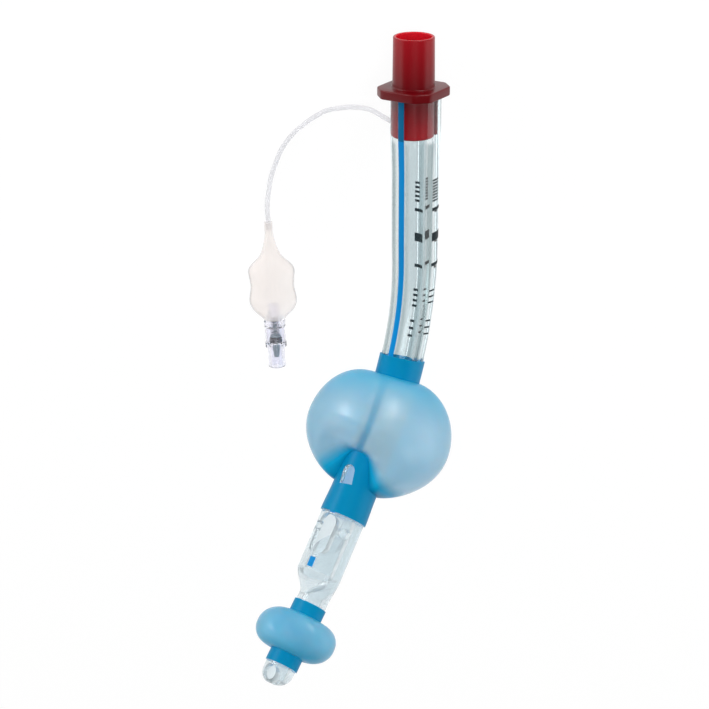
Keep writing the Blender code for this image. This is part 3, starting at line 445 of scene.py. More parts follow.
def fine_grain_group() -> bpy.types.NodeTree:
    """The group for a moulded or blown surface: faint unevenness in gloss and in height.

    Returns:
        A group with inputs Scale, Gloss and Spread, and outputs Roughness and Height.
    """
    name = "fine_grain"
    if name in bpy.data.node_groups:
        return bpy.data.node_groups[name]
    group = bpy.data.node_groups.new(name, "ShaderNodeTree")
    for key, value in (("Scale", 400.0), ("Gloss", 0.3), ("Spread", 0.1)):
        socket = group.interface.new_socket(key, in_out="INPUT", socket_type="NodeSocketFloat")
        socket.default_value = value
    for key in ("Roughness", "Height"):
        group.interface.new_socket(key, in_out="OUTPUT", socket_type="NodeSocketFloat")
    nodes = Nodes(group)
    given = nodes.add("NodeGroupInput")
    made = nodes.add("NodeGroupOutput")
    place = nodes.add("ShaderNodeTexCoord").outputs["Object"]
    centred = nodes.math("SUBTRACT", nodes.noise(place, 60.0, 2.0), 0.5)
    change = nodes.math("MULTIPLY", centred, given.outputs["Spread"])
    nodes.link(nodes.math("ADD", given.outputs["Gloss"], change), made.inputs["Roughness"])
    nodes.link(nodes.noise(place, given.outputs["Scale"], 4.0), made.inputs["Height"])
    return group


@dataclass(frozen=True)
class Finish:
    """A plain finish: one colour with faint mottling, uneven gloss and a fine bump."""

    name: str
    colour: Colour
    roughness: float = 0.3
    spread: float = 0.1
    mottle: float = 0.06
    mottle_scale: float = 90.0
    grain: float = 600.0
    bump: float = 0.02
    bump_height: float = 0.0004
    metallic: float = 0.0
    transmission: float = 0.0
    ior: float = 1.5
    specular: float = 0.5
    subsurface: float = 0.0
    subsurface_scale: float = 0.004
    cover_share: float = 1.0

    def base_colour(self, nodes: Nodes, place):
        """The base colour's socket, a little darker in places."""
        shade = tuple(channel * (1.0 - self.mottle) for channel in self.colour)
        return nodes.mix_colour(nodes.noise(place, self.mottle_scale), self.colour, shade)

    def cover(self, nodes: Nodes, shader) -> None:
        """Let the surface be seen through; a plain finish does so alike all over."""
        shader.inputs["Alpha"].default_value = self.cover_share

    def material(self) -> bpy.types.Material:
        """Build the material, or return it if it is there."""
        if self.name in bpy.data.materials:
            return bpy.data.materials[self.name]
        material = bpy.data.materials.new(self.name)
        material.use_nodes = True
        nodes = Nodes(material.node_tree)
        shader = material.node_tree.nodes["Principled BSDF"]
        set_inputs(shader, {
            "Metallic": self.metallic, "Transmission Weight": self.transmission, "IOR": self.ior,
            "Specular IOR Level": self.specular, "Subsurface Weight": self.subsurface,
            "Subsurface Scale": self.subsurface_scale,
        })
        place = nodes.add("ShaderNodeTexCoord").outputs["Object"]
        nodes.link(self.base_colour(nodes, place), shader.inputs["Base Color"])
        grain = nodes.add("ShaderNodeGroup", node_tree=fine_grain_group())
        set_inputs(grain, {"Scale": self.grain, "Gloss": self.roughness, "Spread": self.spread})
        nodes.link(grain.outputs["Roughness"], shader.inputs["Roughness"])
        bump = nodes.add("ShaderNodeBump")
        set_inputs(bump, {"Strength": self.bump, "Distance": self.bump_height})
        nodes.link(grain.outputs["Height"], bump.inputs["Height"])
        nodes.link(bump.outputs["Normal"], shader.inputs["Normal"])
        self.cover(nodes, shader)
        return material


@dataclass(frozen=True)
class MarkedFinish(Finish):
    """A finish whose colour changes to another one where the piece's points are marked."""

    other: Colour = srgb(255, 255, 255)
    # By default the mark is the red connector's painted glow.
    key: str = "thin"

    def base_colour(self, nodes: Nodes, place):
        """The colour by how strongly a point is marked."""
        return nodes.mix_colour(nodes.mark(self.key), self.colour, self.other)


@dataclass(frozen=True)
class SoftBandFinish(Finish):
    """A band that fades out towards its edges, as it looks through frosted film."""

    def cover(self, nodes: Nodes, shader) -> None:
        """Cover by how near the band's middle a point lies."""
        nodes.link(nodes.mark("middle"), shader.inputs["Alpha"])


@dataclass(frozen=True)
class FilmFinish(Finish):
    """Blown film: deep where it is thick on the sleeves, pale and clearer where stretched, with painted
    shade in creases.
    """

    neck: Colour = srgb(12, 170, 216)
    shoulder: Colour = srgb(66, 178, 214)
    belly: Colour = srgb(145, 191, 209)
    # Painted shade that the film is darkened to in the small cuff's crease.
    fold: Colour = srgb(56, 158, 198)
    clearness: float = 0.64
    clearing: float = 1.5
    sheen_ior: float = 1.8
    sheen_roughness: float = 0.33
    sheen_gain: float = 2.0
    wobble: float = 0.10
    wobble_scale: float = 45.0
    cloud_share: float = 0.12
    cloud_scale: float = 120.0
    cloud_depth: float = 0.8

    def cover(self, nodes: Nodes, shader) -> None:
        """The more the film is stretched, the more it shines and the more is seen through it."""
        stretch = nodes.mark("stretch")
        nodes.link(nodes.math("POWER", stretch, self.sheen_gain), shader.inputs["Coat Weight"])
        set_inputs(shader, {"Coat IOR": self.sheen_ior, "Coat Roughness": self.sheen_roughness})
        share = nodes.math("MULTIPLY", nodes.math("POWER", stretch, self.clearing), self.clearness)
        nodes.link(nodes.math("SUBTRACT", 1.0, share), shader.inputs["Alpha"])

    def base_colour(self, nodes: Nodes, place):
        """The colour by how far the film is stretched, with painted shade where the small cuff's crease is
        marked.
        """
        stretch = nodes.mark("stretch")
        deep = tuple(channel * self.cloud_depth for channel in self.colour)
        centred = nodes.math("SUBTRACT", nodes.noise(place, self.wobble_scale), 0.5)
        wobble = nodes.math("MULTIPLY", centred, self.wobble)
        worn = nodes.math("ADD", stretch, nodes.math("MULTIPLY", wobble, stretch))
        film = nodes.ramp(worn, ((0.0, self.colour), (0.02, self.colour), (0.1, self.neck),
                                 (0.22, self.neck), (0.5, self.shoulder), (1.0, self.belly)))
        crease_shaded = nodes.mix_colour(nodes.math("MULTIPLY", nodes.mark("crease"), stretch), film, self.fold)
        cloud = nodes.math("MULTIPLY", nodes.noise(place, self.cloud_scale), self.cloud_share)
        return nodes.mix_colour(cloud, crease_shaded, deep)


# The other colour is painted glow, as if light came through the red plastic: bright in the bore, near the
# mouth and at the spigot's end.
RED_PLASTIC = MarkedFinish("red_plastic", srgb(100, 0, 8), roughness=0.32, spread=0.05, bump=0.01,
                           specular=0.28, other=srgb(214, 20, 38))
# The other colour is painted shade: darker bands along the outside of the clear wall, where refraction
# would make it look dark.
CLEAR_PVC = MarkedFinish("clear_pvc", srgb(224, 232, 234), roughness=0.03, spread=0.0,
                         transmission=1.0, bump=0.004, other=srgb(116, 136, 138), key="painted_streak")
SLEEVED_PVC = Finish("sleeved_pvc", srgb(218, 226, 229), roughness=0.08, spread=0.0, mottle=0.01,
                     transmission=0.82, ior=1.25, bump=0.004)
FROSTED_PVC = Finish("frosted_pvc", srgb(156, 186, 210), roughness=0.4, mottle=0.03, specular=0.2)
CLEAR_TIP = Finish("clear_tip_plastic", srgb(218, 226, 229), roughness=0.08, spread=0.0, mottle=0.01,
                   transmission=0.78, ior=1.33, bump=0.004)
CUFF_FILM = FilmFinish("cuff_film", srgb(0, 134, 180), roughness=0.38, spread=0.08,
                       subsurface=0.2, subsurface_scale=0.006, grain=900.0, bump=0.03, specular=0.1)
LINE_VINYL = Finish("line_vinyl", srgb(240, 240, 243), roughness=0.1, spread=0.02, mottle=0.02,
                    transmission=0.8, ior=1.22, bump=0.01)
POUCH_FILM = MarkedFinish("pouch_film", srgb(240, 233, 229), spread=0.08, bump=0.03, specular=0.3,
                          cover_share=0.3, other=srgb(150, 146, 145), key="rim")
VALVE_CLEAR = Finish("valve_clear_plastic", srgb(240, 240, 248), roughness=0.04, spread=0.02,
                     mottle=0.01, transmission=0.95, bump=0.004)
PLUNGER_GREY = Finish("plunger_grey_plastic", srgb(105, 120, 124), roughness=0.35)
SEAL_BLACK = Finish("seal_black_rubber", srgb(28, 28, 30), roughness=0.55, mottle=0.2)
SPRING_STEEL = Finish("spring_steel_wire", srgb(150, 152, 156), roughness=0.28, metallic=1.0)
STRIPE_BLUE = Finish("stripe_blue", srgb(0, 134, 204), roughness=0.4, specular=0.1)
STRIPE_OVER_RED = Finish("stripe_over_red", srgb(2, 100, 146), roughness=0.4, specular=0.1)
STRIPE_VEILED = SoftBandFinish("stripe_veiled", srgb(0, 130, 174), roughness=0.5, specular=0.0)
MARK_INK = Finish("mark_ink", srgb(20, 40, 46), roughness=0.45, mottle=0.3, specular=0.1)


@dataclass
class Connector:
    """The red connector: 15 mm cone, square flange with cut corners, and spigot, one moulding."""

    mouth_radius: float = 0.00758
    base_radius: float = 0.00776
    length: float = 0.0185
    bore_radius: float = 0.0065
    rim_round: float = 0.0004
    foot_fillet: float = 0.0006
    flange_side: float = 0.0230
    corner_cut: float = 0.0045
    corner_round: float = 0.0012
    flange_thickness: float = 0.0034
    flange_round: float = 0.0005
    spigot_radius: float = 0.0055
    spigot_wall: float = 0.0012
    spigot_length: float = 0.0155
    twist: float = math.radians(6.3)
    bore_straight: float = 0.6
    # Painted glow: how bright the cone's rim and the spigot's end are painted, and how fast it fades.
    rim_glow: float = 0.34
    rim_fading: float = 1.4
    spigot_glow: float = 0.28
    spigot_fading: float = 1.5
    sides: int = 128

    def build(self):
        """Build the connector and return the dressed piece."""
        place = AXIS.world() @ Matrix.Rotation(math.radians(-90.0), 4, "X")
        place = place @ Matrix.Rotation(self.twist, 4, "Z")
        top = -self.length
        bottom = top - self.flange_thickness
        end = bottom - self.spigot_length
        middle = (top + bottom) / 2.0
        rim = [(self.mouth_radius - self.rim_round * s, -self.rim_round * c) for s, c in quarter(6)]
        fillet = [(self.base_radius + self.foot_fillet * c, top + self.foot_fillet * s)
                  for s, c in quarter(6)]
        cone = turned("cone", [
            (0.0, 0.0), *rim, *fillet, (self.base_radius + self.foot_fillet, middle),
            (self.spigot_radius, middle), (self.spigot_radius, end + self.rim_round),
            (self.spigot_radius - self.rim_round, end), (0.0, end),
        ], self.sides, place)
        inner = self.spigot_radius - self.spigot_wall
        mouth = [(self.bore_radius + self.rim_round * s, -self.rim_round * c) for s, c in quarter(5)]
        bore = turned("bore", [
            (0.0, CUT_PAST), (self.bore_radius + self.rim_round, CUT_PAST), *mouth,
            (self.bore_radius, self.bore_straight * top), (inner, bottom), (inner, end - CUT_PAST),
            (0.0, end - CUT_PAST),
        ], self.sides, place)
        half = self.flange_side / 2.0
        cut = half - self.corner_cut
        corners = [(half, cut), (cut, half), (-cut, half), (-half, cut)]
        outline = rounded(corners + [(-x, -y) for x, y in corners], self.corner_round)
        flange = prism("connector_body", outline, place, bottom, top)
        add_modifier(flange, "BEVEL", width=self.flange_round, segments=4, limit_method="ANGLE")
        boolean(flange, [cone], "UNION")
        boolean(flange, [bore])
        self.mark_painted_glow(flange, place.inverted())
        return dress(flange, RED_PLASTIC, Slot.CONNECTOR, ["connector"], 30.0, shadow=True)

    def mark_painted_glow(self, piece, to_own: Matrix) -> None:
        """Mark each point with painted glow: full in the bore, fading down the cone from the mouth, and
        growing towards the spigot's end.
        """
        values = []
        foot = -self.length - self.flange_thickness
        for vertex in piece.data.vertices:
            own = to_own @ vertex.co
            if own.z <= -self.length:
                share = min(max((foot - own.z) / self.spigot_length, 0.0), 1.0)
                values.append(self.spigot_glow * share ** self.spigot_fading)
            elif math.hypot(*own.xy) < self.bore_radius + self.rim_round:
                values.append(1.0)
            else:
                values.append(self.rim_glow * max(1.0 + own.z / self.length, 0.0) ** self.rim_fading)
        # This mark holds the painted glow.
        mark_points(piece.data, "thin", values)


@dataclass
class Shaft:
    """The clear double-lumen shaft with its window, vent, side eyes, stripe and depth marks."""

    top: float = 0.0222
    half_width_top: float = 0.00905
    half_depth_top: float = 0.0100
    half_width: float = 0.00845
    half_depth: float = 0.0094
    half_width_cuff: float = 0.00767
    half_depth_cuff: float = 0.0090
    half_width_vent: float = 0.0083
    flare_length: float = 0.0200
    wide_end: float = 0.0700
    taper_end: float = 0.1100
    cuff_end: float = 0.1880
    widening: float = 0.0120
    axis_drop: float = 0.0015
    lumen_radius: float = 0.0053
    spigot_end: float = 0.0374
    spigot_grip: float = 0.0052
    grip_fade: float = 0.002
    drain_half_width: float = 0.0030
    drain_half_depth: float = 0.0018
    septum: float = 0.0010
    window_station: float = 0.1730
    window_skew: float = math.radians(10.0)
    window_turn: float = math.radians(4.0)
    window_width: float = 0.0052
    window_length: float = 0.0076
    vent_top: float = 0.1888
    vent_end: float = 0.2052
    vent_width: float = 0.0072
    eye_station: float = 0.1943
    eye_width: float = 0.0048
    eye_length: float = 0.0036
    eye_angle: float = math.radians(65.0)
    cutter_heights: tuple[float, float] = (0.0025, 0.0130)
    stripe_half_width: float = 0.00115
    stripe_turn: float = 0.075
    stripe_top_gap: float = 0.0002
    stripe_overlap: float = 0.0040
    stripe_window_gap: float = 0.0045
    stripe_vent_gaps: tuple[float, float] = (0.0004, 0.0012)
    stripe_end_gap: float = 0.0008
    flush: tuple[float, float] = (-0.00002, 0.0003)
    lumen_print: tuple[float, float] = (0.00003, 0.0001)
    near_bar: tuple[float, float] = (87.0, 131.0)
    near_tick: tuple = (0.0006, (87.0, 112.0))
    far_bar: tuple[float, float] = (156.0, 206.0)
    far_tick: tuple = (0.0009, (180.0, 205.0))
    far_shift: float = 0.0026
    bars: tuple = ((0.0642, 0.0012), (0.0749, 0.0033), (0.0859, 0.0012))
    tick_rows: tuple = (
        (0.0530, 0.0608, 8, False), (0.0562, 0.0632, 5, True), (0.0960, 0.1005, 3, False),
        (0.0977, 0.1037, 4, True), (0.1075, 0.1125, 3, False), (0.1095, 0.1150, 3, True),
    )
    veiled_half_width: float = 0.0021
    veil_points: int = 13
    veil_fading: float = 1.2
    patch_turn: float = 0.06
    patch_step: float = 0.0012
    # Painted shade: middle angle, half width and strength of each darker band along the wall.
    painted_streaks: tuple = ((-21.0, 13.0, 1.0), (75.0, 18.0, 1.0), (50.0, 6.0, 0.5), (17.0, 5.0, 0.5))
    streak_steepness: float = 1.6
    streak_step: float = 0.001
    streak_margin: float = 0.0004
    sleeved_from: float = 0.1250
    frosted_reach: float = 0.0090
    faces_from: float = 0.12
    face_step: float = 0.0005
    lumen_margin: float = 0.0001
    sides: int = 96
    lumen_sides: int = 64
    small_sides: int = 40
    spacing: float = 0.0014

    def half_sizes(self, station: float) -> tuple[float, float]:
        """The shaft's half width and half depth at a station."""
        flare = smoothstep((station - self.top) / self.flare_length - 0.5)
        taper = smoothstep((station - self.wide_end) / (self.taper_end - self.wide_end))
        opening = smoothstep((station - self.cuff_end + self.widening) / self.widening)
        width = mix(mix(self.half_width_top, self.half_width, flare), self.half_width_cuff, taper)
        depth = mix(mix(self.half_depth_top, self.half_depth, flare), self.half_depth_cuff, taper)
        return mix(width, self.half_width_vent, opening), depth

    def drain_drop(self) -> float:
        """How far dorsal of the airway lumen's axis the drain lumen's centre lies."""
        return self.lumen_radius + self.septum + self.drain_half_depth

    def slot(self, name: str, width: float, length: float, place: Matrix, round_end: bool = True):
        """A cutter for a slot along Y through the ventral wall."""
        half = width / 2.0
        top = length / 2.0 - half
        outline = [(half * math.cos(a), top + half * math.sin(a)) for a in np.linspace(0.0, math.pi, 25)]
        if round_end:
            outline += [(-x, -y) for x, y in outline]
        else:
            outline += [(-half, -length / 2.0), (half, -length / 2.0)]
        return prism(name, outline, place, *self.cutter_heights)

    def window(self):
        """A cutter for the window, which also opens the large cuff's sleeve."""
        place = AXIS.frame_at(self.window_station, self.window_turn)
        place = place @ Matrix.Rotation(self.window_skew, 4, "Z")
        return self.slot("window", self.window_width, self.window_length, place, False)

    def build(self) -> list:
        """Build the shaft with what is printed and extruded on it, and return the pieces."""
        count = round((AXIS.shaft_end - self.top) / self.spacing)
        stations = np.linspace(self.top, AXIS.shaft_end, count)
        angles = circle_angles(self.sides)
        shaft = loft("shaft_body", [AXIS.section(s, *self.half_sizes(s), self.axis_drop, angles)
                                    for s in stations])
        inner = [self.top - CUT_PAST, *stations[1:-1], AXIS.shaft_end + CUT_PAST]
        lumen, drain = [], []
        for s in inner:
            free = smoothstep((s - self.spigot_end) / self.grip_fade)
            lumen.append(AXIS.ring(s, mix(self.spigot_grip, self.lumen_radius, free), 0.0,
                                   circle_angles(self.lumen_sides)))
            drain.append(AXIS.section(s, self.drain_half_width, self.drain_half_depth,
                                      self.drain_drop(), circle_angles(self.small_sides)))
        vent_place = AXIS.frame_at((self.vent_top + self.vent_end) / 2.0)
        cutters = [loft("lumen", lumen), loft("drain", drain), self.window(),
                   self.slot("vent", self.vent_width, self.vent_end - self.vent_top, vent_place)]
        for side in (-1, 1):
            place = AXIS.frame_at(self.eye_station, side * self.eye_angle)
            eye = oval(self.eye_width, self.eye_length, self.small_sides)
            cutters.append(prism(f"eye_{side}", eye, place, *self.cutter_heights))
        boolean(shaft, cutters)
        dress(shaft, CLEAR_PVC, Slot.SHAFT, ["shaft"], 30.0)
        self.tell_faces_apart(shaft)
        self.mark_painted_streaks(shaft)
        return [shaft, *self.stripes(), *self.depth_marks()]

    def mark_painted_streaks(self, shaft) -> None:
        """Mark the darker bands painted along the outside of the wall, as painted shade where the clear
        tube would look dark by refraction.
        """
        stations = np.arange(self.top, self.sleeved_from, self.streak_step)
        frames = np.array([AXIS.at(s) for s in stations])
        points = np.array([vertex.co for vertex in shaft.data.vertices])
        nearest = np.linalg.norm(points[:, None] - frames[None, :, 0], axis=2).argmin(axis=1)
        offset = points - frames[nearest, 0]
        across = np.einsum("ij,ij->i", offset, frames[nearest, 1])
        front = np.einsum("ij,ij->i", offset, frames[nearest, 3])
        angle = np.degrees(np.arctan2(across, front + self.axis_drop))
        outside = np.hypot(across, front) > self.lumen_radius + self.streak_margin
        painted_streak, steep = np.zeros(len(points)), self.streak_steepness
        for middle, half_width, strength in self.painted_streaks:
            bump = np.clip(steep - steep * np.abs(angle - middle) / half_width, 0.0, 1.0)
            painted_streak = np.maximum(painted_streak, strength * bump)
        mark_points(shaft.data, "painted_streak", painted_streak * outside * (stations[nearest] > self.spigot_end))

    def tell_faces_apart(self, shaft) -> None:
        """Give the part under the cuff, and the lumen's floor behind the window, their own finish."""
        shaft.data.materials.append(SLEEVED_PVC.material())
        shaft.data.materials.append(FROSTED_PVC.material())
        stations = np.arange(self.faces_from, AXIS.shaft_end + 2.0 * self.face_step, self.face_step)
        frames = np.array([AXIS.at(s) for s in stations])
        for face in shaft.data.polygons:
            offsets = np.array(face.center) - frames[:, 0]
            distances = np.linalg.norm(offsets, axis=1)
            nearest = int(distances.argmin())
            if stations[nearest] < self.sleeved_from:
                continue
            in_lumen = distances[nearest] < self.lumen_radius + self.lumen_margin
            dorsal = offsets[nearest] @ frames[nearest, 3] < 0.0
            behind_window = abs(stations[nearest] - self.window_station) < self.frosted_reach
            face.material_index = 2 if in_lumen and dorsal and behind_window else 1

    def patch(self, name: str, start: float, end: float, left: float, right: float,
              depth: tuple[float, float], finish: Finish, across_count: int = 0, inside: bool = False):
        """A thin plate in the wall between two stations and two angles.

        Args:
            name: The piece's name.
            start: Its upper station.
            end: Its lower station.
            left: Its first angle from ventral.
            right: Its second angle.
            depth: How far below the surface its outer and inner faces lie.
            finish: Its finish.
            across_count: How many points it has across; 0 spreads them evenly.
            inside: Whether it lies on the airway lumen's wall and not on the outside.

        Returns:
            The dressed piece.
        """
        points = across_count or max(3, round(abs(right - left) / self.patch_turn))
        across = np.linspace(left, right, points)
        middle = (1.0 - np.linspace(-1.0, 1.0, points) ** 2) ** self.veil_fading
        count = max(2, round((end - start) / self.patch_step))
        rings = []
        for s in np.linspace(start, end, count):
            width, half_depth, drop = *self.half_sizes(s), self.axis_drop
            if inside:
                width, half_depth, drop = self.lumen_radius, self.lumen_radius, 0.0
            outer, inner = (AXIS.section(s, width - d, half_depth - d, drop, across) for d in depth)
            rings.append(np.concatenate([outer, inner[::-1]]))
        plate = loft(name, rings, marks={"middle": np.tile([*middle, *middle[::-1]], count)})
        return dress(plate, finish, Slot.SHAFT, angle=40.0)

    def stripes(self) -> list:
        """The X-ray stripe along the ventral side, broken by the openings."""
        turn = self.stripe_turn
        half = self.stripe_half_width / self.half_width
        above, below = self.stripe_vent_gaps
        runs = (
            (self.top + self.stripe_top_gap, self.spigot_end, STRIPE_OVER_RED),
            (self.spigot_end, self.sleeved_from, STRIPE_BLUE),
            (self.cuff_end - self.stripe_overlap, self.vent_top - above, STRIPE_BLUE),
            (self.vent_end + below, AXIS.shaft_end - self.stripe_end_gap, STRIPE_BLUE),
        )
        pieces = [self.patch(f"xray_stripe_{number}", start, end, turn - half, turn + half, self.flush,
                             finish) for number, (start, end, finish) in enumerate(runs)]
        wide = self.veiled_half_width / self.half_width_cuff
        pieces.append(self.patch("xray_stripe_veiled", self.sleeved_from,
                                 self.window_station - self.stripe_window_gap, turn - wide,
                                 turn + wide, self.flush, STRIPE_VEILED, self.veil_points))
        return pieces

    def depth_marks(self) -> list:
        """The printed depth scale: bars and short ticks on the right, and across the lumen's far wall."""
        runs = []
        for station, height in self.bars:
            runs.append((station, height, False, self.near_bar))
            runs.append((station + self.far_shift, height, True, self.far_bar))
        for start, end, count, inside in self.tick_rows:
            height, reach = self.far_tick if inside else self.near_tick
            runs += [(station, height, inside, reach) for station in np.linspace(start, end, count)]
        return [self.patch(f"depth_mark_{number}", station - height / 2.0, station + height / 2.0,
                           *np.radians(reach), self.lumen_print if inside else self.flush, MARK_INK,
                           inside=inside)
                for number, (station, height, inside, reach) in enumerate(runs)]


@dataclass
class Tip:
    """The clear tip adapter with its ramp, and the narrow tip tube with its closed nose."""

    gap: float = 0.0003
    ramp_top: float = 0.1940
    ramp_foot: float = 0.2056
    ramp_clearance: float = 0.00005
    cone_length: float = 0.0085
    radius: float = 0.0059
    bore_radius: float = 0.0033
    dorsal_shift: float = 0.0032
    end: float = 0.2552
    nose_length: float = 0.0060
    nose_fullness: float = 0.75
    nose_shift: float = 0.0020
    nose_widest: float = math.radians(82.0)
    opening_width: float = 0.0052
    opening_length: float = 0.0060
    opening_station: float = 0.2515
    bore_past: float = 0.2
    cut_past: float = 0.001
    sides: int = 96
    bore_sides: int = 48
    shaft: Shaft = field(default_factory=Shaft)

    def drop(self) -> float:
        """How far dorsal of the airway lumen's axis the tip tube's axis lies."""
        return self.shaft.axis_drop + self.dorsal_shift

    def build(self) -> list:
        """Build the adapter and the tip tube, and return them."""
        return [self.build_adapter(), self.build_tube()]

    def tapered(self, name: str, stations: tuple, widths: tuple, depths: tuple, drops: tuple,
                count: int, sides: int):
        """A loft whose section changes smoothly from one oval to another.

        Args:
            name: The object's name.
            stations: Its first and last station.
            widths: The first and last half width.
            depths: The first and last half depth.
            drops: How far dorsal the first and last section lie.
            count: How many sections it has.
            sides: Points on each section.

        Returns:
            The new object.
        """
        rings = []
        for t in np.linspace(0.0, 1.0, count):
            sizes = (mix(*ends, smoothstep(t)) for ends in (widths, depths, drops))
            rings.append(AXIS.section(mix(*stations, t), *sizes, circle_angles(sides)))
        return loft(name, rings)

    def build_adapter(self):
        """The adapter: a loft from the shaft's oval to the tip's round, with ramp and passage."""
        shaft = self.shaft
        start = AXIS.shaft_end + self.gap / 3.0
        end = AXIS.shaft_end + self.gap + self.cone_length
        width, depth = shaft.half_sizes(AXIS.shaft_end)
        adapter = self.tapered("tip_adapter_body", (start, end), (width, self.radius),
                               (depth, self.radius), (shaft.axis_drop, self.drop()), 24, self.sides)
        angles = circle_angles(shaft.lumen_sides)
        radius = shaft.lumen_radius - self.ramp_clearance
        upper = [AXIS.ring(mix(self.ramp_top, self.ramp_foot, (1.0 + math.cos(a)) / 2.0), radius, 0.0,
                           np.array([a]))[0] for a in angles]
        lower = AXIS.ring(start + self.cut_past, radius, 0.0, angles)
        boolean(adapter, [loft("ramp", [upper, lower])], "UNION")
        boolean(adapter, [self.tapered(
            "passage", (start - self.cut_past, end + self.cut_past),
            (shaft.drain_half_width, self.bore_radius), (shaft.drain_half_depth, self.bore_radius),
            (shaft.drain_drop(), self.drop()), 16, self.bore_sides)])
        return dress(adapter, CLEAR_TIP, Slot.TIP, ["tip_adapter"], 30.0)

    def build_tube(self):
        """The tip tube, bored up to the drain opening beside its nose."""
        angles = circle_angles(self.sides)
        start = AXIS.shaft_end + 1.3 * self.gap + self.cone_length
        nose_start = self.end - self.nose_length
        drop = self.drop()
        rings = [AXIS.ring(s, self.radius, drop, angles) for s in np.linspace(start, nose_start, 30)]
        for turn in np.linspace(0.0, self.nose_widest, 24)[1:]:
            radius = self.radius * math.cos(turn) ** self.nose_fullness
            station = nose_start + self.nose_length * math.sin(turn) / math.sin(self.nose_widest)
            rings.append(AXIS.ring(station, radius, drop - self.nose_shift * (1.0 - math.cos(turn)),
                                   angles))
        tube = loft("tip_tube_body", rings)
        bore_end = self.opening_station + self.bore_past * self.opening_length
        bore = loft("tip_bore", [AXIS.ring(s, self.bore_radius, drop, circle_angles(self.bore_sides))
                                 for s in np.linspace(start - self.cut_past, bore_end, 20)])
        place = AXIS.frame_at(self.opening_station) @ Matrix.Translation((0.0, 0.0, -drop))
        opening = oval(self.opening_width, self.opening_length, self.bore_sides)
        boolean(tube, [bore, prism("drain_opening", opening, place, 0.0, 2.0 * self.radius)])
        return dress(tube, CLEAR_TIP, Slot.TIP, ["tip_tube"], 35.0)


def surface_distance(rings: np.ndarray) -> np.ndarray:
    """Distance run along the surface from the first ring, for each ring and point."""
    steps = np.linalg.norm(np.diff(rings, axis=0), axis=2)
    return np.concatenate([np.zeros((1, rings.shape[1])), np.cumsum(steps, axis=0)])


TONE_EASE = 0.8  # below 1, the film pales fastest near its sleeve


def film_tone(run: np.ndarray, hold: float | np.ndarray, start: float, reach: float) -> np.ndarray:
    """How pale a cuff's film is at a distance from its sleeve.

    Args:
        run: Distances from the sleeve's edge; below 0 on the sleeve.
        hold: How far the sleeve's own colour goes on.
        start: The paleness just past that.
        reach: The distance at which the film is fully pale.

    Returns:
        Paleness, 0 to 1.
    """
    share = np.clip((run - hold) / reach, 0.0, 1.0)
    near = start * np.clip(run / np.maximum(hold, 1e-6), 0.0, 1.0)
    return np.where(run <= hold, near, start + (1.0 - start) * share ** TONE_EASE)


def film_object(name: str, rings: np.ndarray, wall: float, marks: dict, even: bool = True):
    """An open film surface with a wall inside it, and the marks that its colour follows."""
    film = loft(name, rings, closed=False, marks=marks)
    add_modifier(film, "SOLIDIFY", thickness=wall, offset=-1.0, use_even_offset=even)
    return film


